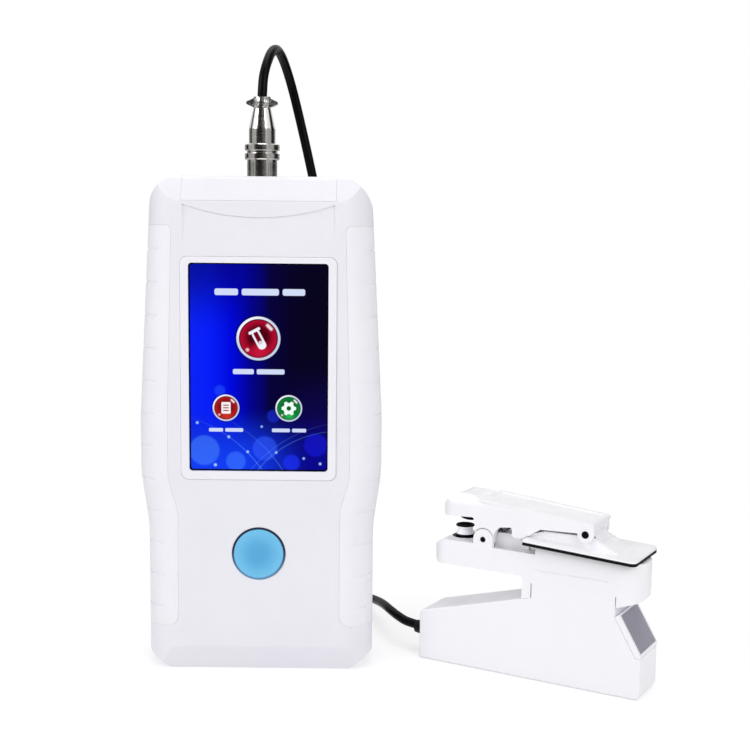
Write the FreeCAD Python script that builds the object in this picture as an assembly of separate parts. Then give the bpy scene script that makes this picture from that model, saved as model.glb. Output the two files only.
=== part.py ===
import FreeCAD, Part
import math
import os
from FreeCAD import Vector

# Chlorophyll fluorescence meter: a handheld unit with a leaf clip on a cable, in millimetres.
# +Z is up and +Y points away from the user. The origin is the middle of the unit's bottom face.
# The leaf clip is drawn along its own axes, u along it, v across it and z up, then turned and set down.

os.makedirs("parts", exist_ok=True)

# Handheld unit: outline seen from the front
UNIT_HEIGHT = 206.0
UNIT_DEPTH = 36.0
HEAD_HALF_WIDTH = 50.8
HEAD_TOP_HALF_WIDTH = 45.6
GRIP_HALF_WIDTH = 47.6
WAIST_LOW_Z = 60.0
WAIST_HIGH_Z = 82.0
WIDEST_Z = 106.0
WAIST_BLEND = 60.0
SIDE_RADIUS = 13.5
TOP_CORNER_RADIUS = 15.5
BASE_CORNER_WIDTH = 10.0
BASE_CORNER_HEIGHT = 6.0
TOP_BEVEL_HEIGHT = 10.0
TOP_BEVEL_DEPTH = 5.5
BASE_BEVEL_HEIGHT = 10.0
BASE_BEVEL_DEPTH = 2.4
BEVEL_BLEND = 3.0
WALL = 2.2
PARTING_Y = 1.0
SEAM = 0.07

# Side grips
GRIP_THICKNESS = 1.5
GRIP_LOW_Z = 18.5
GRIP_HIGH_Z = UNIT_HEIGHT - 20.0
GRIP_EDGE_HEAD = 37.6
GRIP_EDGE_TOP = 35.4
GRIP_EDGE_WAIST = 33.6
GRIP_GROOVE_PITCH = 13.6
GRIP_GROOVE_WIDTH = 0.9
GRIP_GROOVE_DEPTH = 0.4
GRIP_GROOVE_MARGIN = 5.5
GRIP_GROOVES = 12

# Top end panel with its socket recess and the scoop under it
PANEL_HALF_WIDTH = 31.5
PANEL_LOW_Z = UNIT_HEIGHT - 10.0
RECESS_WIDTH = 25.0
RECESS_LENGTH = 18.4
RECESS_DEPTH = 3.0
SCOOP_END_Z = PANEL_LOW_Z - 1.4
SCOOP_MIDDLE_Z = PANEL_LOW_Z - 6.6
SCOOP_LOW_Z = PANEL_LOW_Z - 21.0
SCOOP_DEPTH = 0.65
SCOOP_HALF_WIDTH = 31.0

# Screen
BEZEL_WIDTH = 64.0
BEZEL_LOW_Z = 81.4
BEZEL_HIGH_Z = SCOOP_LOW_Z - 1.6
BEZEL_CORNER = 3.0
BEZEL_PROUD = 0.6
BEZEL_FLANGE = 2.0
BEZEL_FLANGE_THICKNESS = 1.2
WINDOW_WIDTH = 57.2
WINDOW_LOW_Z = BEZEL_LOW_Z + 3.7
WINDOW_HIGH_Z = BEZEL_HIGH_Z - 2.5
WINDOW_CORNER = 1.4
GLASS_SETBACK = 0.5
GLASS_THICKNESS = 1.2
LCD_THICKNESS = 3.0
LCD_MARGIN = 0.8
FIT = 0.1

# Power button
BUTTON_X = 0.0
BUTTON_Z = 50.1
BUTTON_RADIUS = 10.3
BUTTON_PROUD = 0.9
BUTTON_DISH = 0.6
BUTTON_RING_WALL = 0.75
BUTTON_RING_PROUD = 0.15
BUTTON_FLANGE = 1.4
BUTTON_FLANGE_THICKNESS = 1.0
BUTTON_TRAVEL = 0.6
BUTTON_STEM_RADIUS = 3.0
SWITCH_SIZE = 8.0
SWITCH_HEIGHT = 2.2
SWITCH_PLUNGER_RADIUS = 1.75
SWITCH_PLUNGER_HEIGHT = 0.9

# Inside the unit
CASE_SCREW_X = 31.0
CASE_SCREW_Z = (14.0, PANEL_LOW_Z - 5.5)
CASE_SCREW_RADIUS = 1.4
CASE_SCREW_HEAD_RADIUS = 2.8
CASE_SCREW_HEAD_HEIGHT = 1.8
CASE_SCREW_SEAT = 4.0
CASE_SCREW_TIP_Y = -9.0
CASE_POST_RADIUS = 4.0
BOARD_HALF_WIDTH = 38.5
BOARD_END_CLEARANCE = 0.5
BOARD_LOW_Z = 24.0
BOARD_HIGH_Z = CASE_SCREW_Z[1] - CASE_POST_RADIUS - BOARD_END_CLEARANCE
BOARD_THICKNESS = 1.6
BOARD_FRONT_Y = -9.0
BOARD_POST_RADIUS = 2.6
BOARD_POST_X = 35.5
BOARD_POST_Z = (BOARD_LOW_Z + 5.0, 76.0, BOARD_HIGH_Z - 3.0)
BOARD_SCREW_RADIUS = 1.2
BOARD_SCREW_DEPTH = 4.0
BOARD_SCREW_HEAD_HEIGHT = 1.3
SCREW_END_ROOM = 0.5
BATTERY_WIDTH = 58.0
BATTERY_LOW_Z = 44.0
BATTERY_HEIGHT = 84.0
BATTERY_THICKNESS = 9.0

# Charging port in the top end panel
PORT_X = 22.0
PORT_WIDTH = 9.2
PORT_HEIGHT = 3.4
PORT_LENGTH = 8.0

# Socket and cable plug, on one upright axis at the middle of the top
SOCKET_FLANGE_RADIUS = 8.5
SOCKET_FLANGE_THICKNESS = 1.2
SOCKET_BARREL_RADIUS = 5.45
SOCKET_BARREL_TOP = UNIT_HEIGHT + 6.4
SOCKET_BODY_RADIUS = 5.9
SOCKET_BODY_LENGTH = 9.0
SOCKET_BORE = 4.3
SOCKET_NUT_RADIUS = 8.4
SOCKET_NUT_THICKNESS = 2.2
PIN_RADIUS = 0.5
PIN_CIRCLE = 1.9
PIN_COUNT = 4
PLUG_NOSE_RADIUS = 4.2
PLUG_NOSE_WALL = 0.6
PLUG_BARREL_RADIUS = 5.45
PLUG_SHOULDER_Z = SOCKET_BARREL_TOP + 0.3
PLUG_CONE_LOW_Z = PLUG_SHOULDER_Z + 13.0
PLUG_CONE_HIGH_Z = PLUG_CONE_LOW_Z + 8.1
PLUG_CONE_TOP_RADIUS = 3.75
RING_LOW_Z = UNIT_HEIGHT - 1.3
RING_COLLAR_LOW_Z = RING_LOW_Z + 8.3
RING_COLLAR_HIGH_Z = RING_COLLAR_LOW_Z + 6.5
RING_SLEEVE_RADIUS = 6.2
RING_COLLAR_RADIUS = 7.2
RING_GROOVE_RADIUS = 6.3
RING_GROOVE_WIDTH = 1.5
RING_RUNNING_FIT = 0.08
KNURL_COUNT = 48
KNURL_DEPTH = 0.2
KNURL_WIDTH = 0.34
SADDLE_HALF_WIDTH = 6.4
SADDLE_TIP_HALF_HEIGHT = 0.45
SADDLE_APEX = 3.3
SADDLE_APEX_RADIUS = 10.0
SADDLE_EAR_HALF_DEPTH = 2.0
SADDLE_COLLAR_RADIUS = 3.6
SADDLE_HEIGHT = 4.9
SADDLE_GAP = 0.5
SADDLE_SCREW_X = 4.4
SADDLE_SCREW_RADIUS = 0.6
SADDLE_SCREW_HEAD_RADIUS = 1.05
SADDLE_SCREW_HEAD_HEIGHT = 0.9

# Cable, its coil behind the unit and the tie round the coil
CABLE_RADIUS = 2.0
COIL_X = 8.0
COIL_Y = 62.0
COIL_INNER_TURN = 20.0
COIL_OUTER_TURN = 24.2
COIL_HEIGHT = 15.0
TIE_THICKNESS = 0.6
TIE_WIDTH = 5.0

# Leaf clip: place on the floor and housing profile
CLIP_X = 68.1
CLIP_Y = -0.8
CLIP_TURN = 29.8
CLIP_WIDTH = 21.8
HOUSING_LENGTH = 98.7
HOUSING_LEFT_HEIGHT = 21.0
HOUSING_SLOPE_TOP_Z = 34.9
HOUSING_NECK_LEFT = 51.8
HOUSING_NECK_RIGHT = HOUSING_LENGTH - 11.1
HOUSING_NECK_TOP_Z = 41.0
HOUSING_RIGHT_LOW_Z = 18.4
HOUSING_RIGHT_TOP_Z = 33.8
HOUSING_RIGHT_TOP_U = HOUSING_LENGTH - 9.1
HOUSING_WALL = 2.0
HOUSING_CORNER = 2.0
END_CAP_THICKNESS = 2.2
END_CAP_SEAM = 0.25
END_CAP_FOOT = 1.5
INLAY_NEAR_MARGIN = 1.3
INLAY_FAR_MARGIN = 0.3
INLAY_END_MARGIN = 0.5
INLAY_THICKNESS = 1.0
INLAY_SETBACK = 0.3
FOOT_PLATE_THICKNESS = 1.8
FOOT_PLATE_MARGIN = 3.4
FOOT_SCREW_LEFT_U = 8.0
FOOT_SCREW_RIGHT_U = HOUSING_LENGTH - 12.0
FOOT_SCREW_RADIUS = 1.1
FOOT_SCREW_HEAD_RADIUS = 2.1
FOOT_SCREW_HEAD_HEIGHT = 1.0
FOOT_SCREW_LENGTH = 5.0
FOOT_POST_RADIUS = 2.8
GLAND_Z = 9.8
GLAND_LENGTH = 7.0
GLAND_TIP_RADIUS = 2.7
GLAND_ROOT_RADIUS = 3.6
GLAND_FLANGE_RADIUS = 4.4
GLAND_CABLE_FIT = 0.05
GLAND_LEAD = 6.0
CLIP_BOARD_THICKNESS = 1.6
CLIP_BOARD_LEFT_U = 14.0
CLIP_BOARD_RIGHT_U = HOUSING_LENGTH - 18.0
CLIP_BOARD_LOW_Z = 9.0
CLIP_BOARD_HIGH_Z = 20.0
HOLDER_INSET = 6.0
HOLDER_WIDTH = 6.0
HOLDER_LOW_Z = 9.5
HOLDER_HIGH_Z = 12.0

# Lower arm with its turret
ARM_NOSE_U = 4.4
ARM_END_U = HOUSING_LENGTH - 0.5
ARM_UNDER_Z = 43.4
ARM_TOP_Z = 53.3
ARM_FRONT_TOP_Z = 54.2
ARM_FRONT_END_U = 24.0
ARM_FOOT_U = 47.4
ARM_FOOT_WIDTH = 3.9
ARM_REAR_UNDER_Z = 36.5
ARM_NOSE_PLAN_RADIUS = 8.0
ARM_END_PLAN_RADIUS = 10.6
ARM_LINE_Z = 46.7
ARM_LINE_DEPTH = 0.3
ARM_LINE_WIDTH = 0.3
ARM_CHANNEL_END_U = 46.0
ARM_CHANNEL_FLOOR_Z = 49.0
ARM_SIDE_WALL = 1.9
ARM_RIM_LEFT_U = 53.0
ARM_RIM_END_U = 86.0
ARM_RIM_GAP = 0.55
LUG_RADIUS = 4.4
HEAD_U = 16.0
TURRET_RADIUS = 3.8
TURRET_BASE_RADIUS = 5.4
TURRET_BASE_Z = 52.6
TURRET_BASE_TOP_Z = 55.2
LIGHT_PIPE_TOP_Z = 58.6
GASKET_TOP_Z = 59.2
PIPE_WAIST = 0.45

# Hinge pins of the clip
JAW_PIN_U = 29.4
JAW_PIN_Z = 56.4
JAW_PIN_RADIUS = 1.15
LEVER_PIN_U = HOUSING_LENGTH - 24.6
LEVER_PIN_Z = 64.2
LEVER_PIN_RADIUS = 1.5
PIN_FIT = 0.05
PIN_PROUD = 0.35

# Upper arm
JAW_CLOSE_TURN = 12.5
JAW_FACE_GAP = 0.15
UPPER_MARGIN = 0.6
UPPER_NOSE_U = 8.4
UPPER_NOSE_PLAN_RADIUS = 7.0
UPPER_HUMP_Z = 74.5
UPPER_SHOULDER_RADIUS = 5.0
UPPER_EAR_RADIUS = 3.3
UPPER_TOP_FRONT_U = 27.0
UPPER_TOP_FRONT_Z = 73.6
UPPER_TOP_REAR_Z = 69.0
UPPER_END_U = LEVER_PIN_U + UPPER_EAR_RADIUS
UPPER_NOSE_PROFILE = [(UPPER_NOSE_U, 66.6, 1.2), (UPPER_NOSE_U + 2.2, 64.3, 0.8), (24.6, 65.2, 1.0), (25.4, 61.0, 0)]
UPPER_CHEEK_PROFILE = [(34.6, 60.3, 1.5), (36.6, 62.4, 2.0), (42.0, 63.0, 0.6), (42.4, 59.0, 0.8),
                       (46.4, 58.9, 1.5), (51.0, 61.4, 2.0), (54.4, 63.8, 2.0)]
UPPER_HUMP_PROFILE = [(24.0, 73.9, 4.0), (15.8, UPPER_HUMP_Z, 8.0), (9.3, 69.0, 3.0)]
UPPER_COVER_THICKNESS = 1.5
UPPER_ROOF = 2.2
UPPER_CHEEK = 2.0
UPPER_HUB_RADIUS = 4.0
UPPER_HUB_CLEARANCE = 0.4
UPPER_GASKET_RADIUS = 3.6
UPPER_GASKET_THICKNESS = 1.5
UPPER_HEAD_RADIUS = 3.1
UPPER_HEAD_TOP_Z = 67.0

# Thumb lever
LEVER_TILT = 3.1
LEVER_LEFT_U = 49.0
LEVER_RIGHT_U = LEVER_PIN_U + 22.9
LEVER_PLATE_TOP_Z = 58.5
LEVER_PLATE_THICKNESS = 1.0
LEVER_PAD_THICKNESS = 1.3
LEVER_OVERHANG = 4.0
LEVER_CORNER = 2.6
LEVER_HUB_RADIUS = 2.6
LEVER_HUB_CLEARANCE = 0.3
GUSSET_GAP = 0.3
GUSSET_THICKNESS = 1.8
GUSSET_KNEE_REACH = 5.3
GUSSET_KNEE_DROP = 2.4
GUSSET_END_INSET = 8.0
TOE_U = 50.7
TOE_Z = 55.6
TOE_RADIUS = 1.2

# Torsion spring on the jaw pin
SPRING_COIL_GAP = 0.3
SPRING_WIRE_RADIUS = 0.45
SPRING_TURNS = 5
SPRING_PITCH = 1.3
SPRING_LEG_LENGTH = 9.0

HALF_DEPTH = UNIT_DEPTH / 2
FRONT_Y = -HALF_DEPTH
CLIP_MIDDLE = CLIP_WIDTH / 2
X_AXIS = Vector(1, 0, 0)
Y_AXIS = Vector(0, 1, 0)
Z_AXIS = Vector(0, 0, 1)
FAR = 200.0


def box(x0, x1, y0, y1, z0, z1):
    return Part.makeBox(x1 - x0, y1 - y0, z1 - z0, Vector(x0, y0, z0))


def rod(radius, start, axis, length):
    return Part.makeCylinder(radius, length, start, axis)


def front_view(y):
    return lambda p, q: Vector(p, y, q)


def side_view(x):
    return lambda p, q: Vector(x, p, q)


def top_view(z):
    return lambda p, q: Vector(p, q, z)


def outline(corners, place):
    """A closed wire through corners (p, q, radius), with an arc at each corner that has a radius."""
    ends = []
    count = len(corners)
    for i in range(count):
        p, q, radius = corners[i]
        if radius <= 0:
            ends.append((Vector(p, q, 0), None, Vector(p, q, 0)))
            continue
        here = Vector(p, q, 0)
        back = Vector(corners[i - 1][0], corners[i - 1][1], 0) - here
        ahead = Vector(corners[(i + 1) % count][0], corners[(i + 1) % count][1], 0) - here
        back.normalize()
        ahead.normalize()
        half = back.getAngle(ahead) / 2
        reach = radius / math.tan(half)
        middle = back + ahead
        middle.normalize()
        centre = here + middle * (radius / math.sin(half))
        ends.append((here + back * reach, centre - middle * radius, here + ahead * reach))
    edges = []
    for i in range(count):
        start, middle, end = ends[i]
        if middle:
            points = [place(w.x, w.y) for w in (start, middle, end)]
            edges.append(Part.Arc(*points).toShape())
        following = ends[(i + 1) % count][0]
        if (following - end).Length > 1e-6:
            edges.append(Part.LineSegment(place(end.x, end.y), place(following.x, following.y)).toShape())
    return Part.Wire(Part.__sortEdges__(edges))


def prism(corners, place, direction):
    """The outline of corners, as a solid along direction. A corner is (p, q) or (p, q, radius)."""
    full = [c if len(c) == 3 else (c[0], c[1], 0) for c in corners]
    return Part.Face(outline(full, place)).extrude(direction)


def turned(profile, base=None, axis=None):
    """A solid of revolution from (radius, height) corners, on the upright axis through base."""
    wire = Part.makePolygon([Vector(r, 0, h) for r, h in profile + profile[:1]])
    solid = Part.Face(wire).revolve(Vector(0, 0, 0), Z_AXIS, 360)
    if axis is not None:
        solid.Placement = FreeCAD.Placement(Vector(0, 0, 0), FreeCAD.Rotation(Z_AXIS, axis))
    if base is not None:
        solid.translate(base)
    return solid


def fused(shapes):
    whole = shapes[0]
    for shape in shapes[1:]:
        whole = whole.fuse(shape)
    return whole.removeSplitter()


def mirrored(shape):
    return shape.mirror(Vector(0, 0, 0), X_AXIS)


def export(name, shape):
    solids = shape.Solids
    result = solids[0] if len(solids) == 1 else Part.makeCompound(solids)
    result.exportStep("parts/" + name + ".step")


# The clip's axes to the frame of the whole
CLIP_PLACEMENT = FreeCAD.Placement(Vector(CLIP_X, CLIP_Y, 0), FreeCAD.Rotation(Z_AXIS, -CLIP_TURN))


def export_clip(name, shape):
    placed = shape.copy()
    placed.Placement = CLIP_PLACEMENT.multiply(placed.Placement)
    export(name, placed)


# Body of the unit, whole, or inset all round for its inside
def unit_body(inset):
    low, high = inset, UNIT_HEIGHT - inset
    head, top, waist = HEAD_HALF_WIDTH - inset, HEAD_TOP_HALF_WIDTH - inset, GRIP_HALF_WIDTH - inset
    right = [(waist, low, 0), (waist, WAIST_LOW_Z, WAIST_BLEND), (head, WAIST_HIGH_Z, WAIST_BLEND),
             (head, WIDEST_Z, WAIST_BLEND), (top, high, 0)]
    left = [(-p, q, r) for p, q, r in reversed(right)]
    depth = HALF_DEPTH - inset
    body = prism(right + left, front_view(-depth), Vector(0, 2 * depth, 0))
    upright = [e for e in body.Edges
               if all(abs(abs(v.Point.y) - depth) < 1e-6 for v in e.Vertexes)
               and abs(e.Vertexes[0].Point.z - e.Vertexes[-1].Point.z) > 1e-3]
    body = body.makeFillet(SIDE_RADIUS - inset, upright)
    corner_z = high - TOP_CORNER_RADIUS
    slope = (HEAD_HALF_WIDTH - HEAD_TOP_HALF_WIDTH) / (UNIT_HEIGHT - WIDEST_Z)
    corner_x = top + slope * TOP_CORNER_RADIUS
    right = [(waist - BASE_CORNER_WIDTH, low, 0), (waist, low + BASE_CORNER_HEIGHT, 0),
             (FAR, low + BASE_CORNER_HEIGHT, 0), (FAR, corner_z, 0), (corner_x, corner_z, 0),
             (top, high, TOP_CORNER_RADIUS - 0.5)]
    left = [(-p, q, r) for p, q, r in reversed(right)]
    body = body.common(prism(right + left, front_view(-FAR), Vector(0, 2 * FAR, 0)))
    front = [(depth - BASE_BEVEL_DEPTH, low, 0), (depth, low + BASE_BEVEL_HEIGHT, BEVEL_BLEND),
             (depth, high - TOP_BEVEL_HEIGHT, BEVEL_BLEND), (depth - TOP_BEVEL_DEPTH, high, BEVEL_BLEND)]
    back = [(-p, q, r) for p, q, r in reversed(front)]
    return body.common(prism(front + back, side_view(-FAR), Vector(2 * FAR, 0, 0)))


UNIT = unit_body(0)
UNIT_INSIDE = unit_body(WALL)
UNIT_SHELL = UNIT.cut(UNIT_INSIDE)


# Right grip, and the pocket that it fills in the two shells
def grip_region(shift):
    low, high = GRIP_LOW_Z + shift, GRIP_HIGH_Z - shift
    corners = [(GRIP_EDGE_TOP + shift, high, 2), (GRIP_EDGE_HEAD + shift, WIDEST_Z, 40),
               (GRIP_EDGE_HEAD + shift, WAIST_HIGH_Z, 20), (GRIP_EDGE_WAIST + shift, WAIST_LOW_Z + 8, 20),
               (GRIP_EDGE_WAIST + shift, low, 5), (FAR, low, 0), (FAR, high, 0)]
    return prism(corners, front_view(-FAR), Vector(0, 2 * FAR, 0))


GRIP_POCKET = UNIT.cut(unit_body(GRIP_THICKNESS)).common(grip_region(0))


def make_grips():
    grip = UNIT.cut(unit_body(GRIP_THICKNESS)).common(grip_region(SEAM))
    grooves = [box(-FAR, FAR, -FAR, FAR, z - GRIP_GROOVE_WIDTH / 2, z + GRIP_GROOVE_WIDTH / 2)
               for z in [GRIP_LOW_Z + GRIP_GROOVE_PITCH * (k + 0.6) for k in range(GRIP_GROOVES)]]
    cutter = Part.makeCompound(grooves).common(grip_region(GRIP_GROOVE_MARGIN))
    grip = grip.cut(cutter.cut(unit_body(GRIP_GROOVE_DEPTH)))
    export("right_grip", grip)
    export("left_grip", mirrored(grip))


# Top end panel, with the recess that the socket stands in
RECESS_FLOOR_Z = UNIT_HEIGHT - RECESS_DEPTH
PANEL_FLOOR_LOW_Z = RECESS_FLOOR_Z - WALL


def port_box(grow):
    return box(PORT_X - PORT_WIDTH / 2 - grow, PORT_X + PORT_WIDTH / 2 + grow,
               -PORT_HEIGHT / 2 - grow, PORT_HEIGHT / 2 + grow, UNIT_HEIGHT - PORT_LENGTH, UNIT_HEIGHT)


def make_top_panel():
    span = box(-PANEL_HALF_WIDTH, PANEL_HALF_WIDTH, -FAR, FAR, PANEL_LOW_Z, FAR * 2)
    panel = UNIT_SHELL.common(span)
    half_w, half_l = RECESS_WIDTH / 2, RECESS_LENGTH / 2
    tub = box(-half_w - WALL, half_w + WALL, -half_l - WALL, half_l + WALL,
              PANEL_FLOOR_LOW_Z, UNIT_HEIGHT - WALL / 2)
    pocket_corners = [(-half_w, -half_l, 4), (half_w, -half_l, 4), (half_w, half_l, 4), (-half_w, half_l, 4)]
    pocket = prism(pocket_corners, top_view(RECESS_FLOOR_Z), Vector(0, 0, FAR))
    hole = rod(SOCKET_BODY_RADIUS + FIT, Vector(0, 0, PANEL_FLOOR_LOW_Z - 1), Z_AXIS, FAR)
    panel = panel.fuse(tub.common(UNIT)).cut(pocket).cut(hole).cut(port_box(SEAM))
    export("top_panel", panel.removeSplitter())


# Posts that carry the circuit board and the case screws
def case_screw_places():
    return [(x, z) for x in (-CASE_SCREW_X, CASE_SCREW_X) for z in CASE_SCREW_Z]


def board_post_places():
    return [(x, z) for x in (-BOARD_POST_X, BOARD_POST_X) for z in BOARD_POST_Z]


def post(x, z, radius, y0, y1):
    return rod(radius, Vector(x, y0, z), Y_AXIS, y1 - y0)


def frame_region(width, low, high, corner, y0, y1):
    half = width / 2
    corners = [(-half, low, corner), (half, low, corner), (half, high, corner), (-half, high, corner)]
    return prism(corners, front_view(y0), Vector(0, y1 - y0, 0))


def scoop_cutter():
    """A shallow wedge between the bezel and the top panel, under a curved upper edge."""
    left, middle, right = (Vector(x, -FAR, z) for x, z in
                           ((-SCOOP_HALF_WIDTH, SCOOP_END_Z), (0, SCOOP_MIDDLE_Z), (SCOOP_HALF_WIDTH, SCOOP_END_Z)))
    low_left = Vector(-SCOOP_HALF_WIDTH, -FAR, SCOOP_LOW_Z)
    low_right = Vector(SCOOP_HALF_WIDTH, -FAR, SCOOP_LOW_Z)
    wire = Part.Wire([Part.Arc(left, middle, right).toShape(), Part.LineSegment(right, low_right).toShape(),
                      Part.LineSegment(low_right, low_left).toShape(), Part.LineSegment(low_left, left).toShape()])
    area = Part.Face(wire).extrude(Vector(0, FAR, 0))
    wedge = prism([(FRONT_Y - 5, SCOOP_LOW_Z), (FRONT_Y, SCOOP_LOW_Z), (FRONT_Y + SCOOP_DEPTH, SCOOP_MIDDLE_Z),
                   (FRONT_Y + SCOOP_DEPTH, SCOOP_END_Z + 1), (FRONT_Y - 5, SCOOP_END_Z + 1)],
                  side_view(-FAR), Vector(2 * FAR, 0, 0))
    return area.common(wedge)


BUTTON_RING_RADIUS = BUTTON_RADIUS + FIT + BUTTON_RING_WALL
BUTTON_FLANGE_Y = FRONT_Y + WALL + BUTTON_TRAVEL


def without_shared_openings(half_shell):
    panel_room = box(-PANEL_HALF_WIDTH - SEAM, PANEL_HALF_WIDTH + SEAM, -FAR, FAR, PANEL_LOW_Z - SEAM, FAR * 2)
    return half_shell.cut(GRIP_POCKET).cut(mirrored(GRIP_POCKET)).cut(panel_room)


def make_front_shell():
    shell = UNIT_SHELL.common(box(-FAR, FAR, -FAR, PARTING_Y, -FAR, FAR * 2))
    posts = [post(x, z, CASE_POST_RADIUS, FRONT_Y + 1, PARTING_Y) for x, z in case_screw_places()]
    posts += [post(x, z, BOARD_POST_RADIUS, FRONT_Y + 1, BOARD_FRONT_Y) for x, z in board_post_places()]
    shell = without_shared_openings(fused([shell] + [p.common(UNIT) for p in posts]))
    for x, z in case_screw_places():
        shell = shell.cut(post(x, z, CASE_SCREW_RADIUS + PIN_FIT, CASE_SCREW_TIP_Y - SCREW_END_ROOM, PARTING_Y + 1))
    for x, z in board_post_places():
        shell = shell.cut(post(x, z, BOARD_SCREW_RADIUS + PIN_FIT,
                               BOARD_FRONT_Y - BOARD_SCREW_DEPTH - SCREW_END_ROOM, BOARD_FRONT_Y + 1))
    shell = shell.cut(scoop_cutter())
    shell = shell.cut(frame_region(BEZEL_WIDTH + 2 * FIT, BEZEL_LOW_Z - FIT, BEZEL_HIGH_Z + FIT,
                                   BEZEL_CORNER, -FAR, 0))
    shell = shell.cut(post(BUTTON_X, BUTTON_Z, BUTTON_RING_RADIUS + FIT, -FAR, 0))
    export("front_shell", shell.removeSplitter())


def make_rear_shell():
    shell = UNIT_SHELL.common(box(-FAR, FAR, PARTING_Y, FAR, -FAR, FAR * 2))
    posts = [post(x, z, CASE_POST_RADIUS, PARTING_Y, HALF_DEPTH - 1) for x, z in case_screw_places()]
    shell = without_shared_openings(fused([shell] + [p.common(UNIT) for p in posts]))
    for x, z in case_screw_places():
        shell = shell.cut(post(x, z, CASE_SCREW_HEAD_RADIUS + FIT, HALF_DEPTH - CASE_SCREW_SEAT, FAR))
        shell = shell.cut(post(x, z, CASE_SCREW_RADIUS + PIN_FIT, PARTING_Y - 1, FAR))
    export("rear_shell", shell.removeSplitter())


def make_case_screws():
    screws = []
    seat = HALF_DEPTH - CASE_SCREW_SEAT
    for x, z in case_screw_places():
        head = post(x, z, CASE_SCREW_HEAD_RADIUS, seat, seat + CASE_SCREW_HEAD_HEIGHT)
        drive = prism([(x - 0.35, z - 2), (x + 0.35, z - 2), (x + 0.35, z + 2), (x - 0.35, z + 2)],
                      front_view(seat + CASE_SCREW_HEAD_HEIGHT / 2), Vector(0, FAR, 0))
        cross = drive.copy()
        cross.rotate(Vector(x, 0, z), Y_AXIS, 90)
        shank = post(x, z, CASE_SCREW_RADIUS, CASE_SCREW_TIP_Y, seat)
        screws.append(head.cut(drive).cut(cross).fuse(shank).removeSplitter())
    export("case_screws", Part.makeCompound(screws))


# Screen in its bezel
BEZEL_FRONT_Y = FRONT_Y - BEZEL_PROUD
FLANGE_Y = FRONT_Y + WALL + FIT
GLASS_Y = BEZEL_FRONT_Y + GLASS_SETBACK
LCD_Y = GLASS_Y + GLASS_THICKNESS


def make_screen():
    frame = frame_region(BEZEL_WIDTH, BEZEL_LOW_Z, BEZEL_HIGH_Z, BEZEL_CORNER, BEZEL_FRONT_Y, FLANGE_Y)
    rim = [e for e in frame.Edges if all(abs(v.Point.y - BEZEL_FRONT_Y) < 1e-6 for v in e.Vertexes)]
    frame = frame.makeFillet(0.45, rim)
    flange = frame_region(BEZEL_WIDTH + 2 * BEZEL_FLANGE, BEZEL_LOW_Z - BEZEL_FLANGE,
                          BEZEL_HIGH_Z + BEZEL_FLANGE, BEZEL_CORNER, FLANGE_Y, FLANGE_Y + BEZEL_FLANGE_THICKNESS)
    window = frame_region(WINDOW_WIDTH, WINDOW_LOW_Z, WINDOW_HIGH_Z, WINDOW_CORNER, -FAR, 0)
    room = frame_region(WINDOW_WIDTH + 2 * LCD_MARGIN + 2 * FIT, WINDOW_LOW_Z - LCD_MARGIN - FIT,
                        WINDOW_HIGH_Z + LCD_MARGIN + FIT, 0.5, LCD_Y, 0)
    export("screen_bezel", frame.fuse(flange).cut(window).cut(room).removeSplitter())
    export("screen_glass", frame_region(WINDOW_WIDTH - 2 * FIT, WINDOW_LOW_Z + FIT, WINDOW_HIGH_Z - FIT,
                                        WINDOW_CORNER, GLASS_Y, LCD_Y))
    export("lcd_module", frame_region(WINDOW_WIDTH + 2 * LCD_MARGIN, WINDOW_LOW_Z - LCD_MARGIN,
                                      WINDOW_HIGH_Z + LCD_MARGIN, 0.5, LCD_Y, LCD_Y + LCD_THICKNESS))


# Power button: cap with a shallow dish and a flange behind the wall, its trim ring and its switch
def make_button():
    face_y = FRONT_Y - BUTTON_PROUD
    cap = post(BUTTON_X, BUTTON_Z, BUTTON_RADIUS, face_y, BUTTON_FLANGE_Y)
    edge = [e for e in cap.Edges if len(e.Vertexes) == 1 and abs(e.Vertexes[0].Point.y - face_y) < 1e-6]
    cap = cap.makeFillet(0.5, edge)
    dish_radius = (BUTTON_RADIUS ** 2 + BUTTON_DISH ** 2) / (2 * BUTTON_DISH)
    dish = Part.makeSphere(dish_radius, Vector(BUTTON_X, face_y + BUTTON_DISH * 0.6 - dish_radius, BUTTON_Z))
    flange = post(BUTTON_X, BUTTON_Z, BUTTON_RADIUS + BUTTON_FLANGE, BUTTON_FLANGE_Y,
                  BUTTON_FLANGE_Y + BUTTON_FLANGE_THICKNESS)
    stem_end = BOARD_FRONT_Y - SWITCH_HEIGHT - SWITCH_PLUNGER_HEIGHT - BUTTON_TRAVEL - FIT
    stem = post(BUTTON_X, BUTTON_Z, BUTTON_STEM_RADIUS, face_y + 2, stem_end)
    export("button_cap", cap.cut(dish).fuse(flange).fuse(stem).removeSplitter())
    ring = post(BUTTON_X, BUTTON_Z, BUTTON_RING_RADIUS, FRONT_Y - BUTTON_RING_PROUD, FRONT_Y + WALL)
    export("button_ring", ring.cut(post(BUTTON_X, BUTTON_Z, BUTTON_RADIUS + FIT, -FAR, 0)))
    half = SWITCH_SIZE / 2
    body = box(BUTTON_X - half, BUTTON_X + half, BOARD_FRONT_Y - SWITCH_HEIGHT, BOARD_FRONT_Y,
               BUTTON_Z - half, BUTTON_Z + half)
    plunger = post(BUTTON_X, BUTTON_Z, SWITCH_PLUNGER_RADIUS,
                   BOARD_FRONT_Y - SWITCH_HEIGHT - SWITCH_PLUNGER_HEIGHT, BOARD_FRONT_Y)
    export("button_switch", body.fuse(plunger).removeSplitter())


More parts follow.
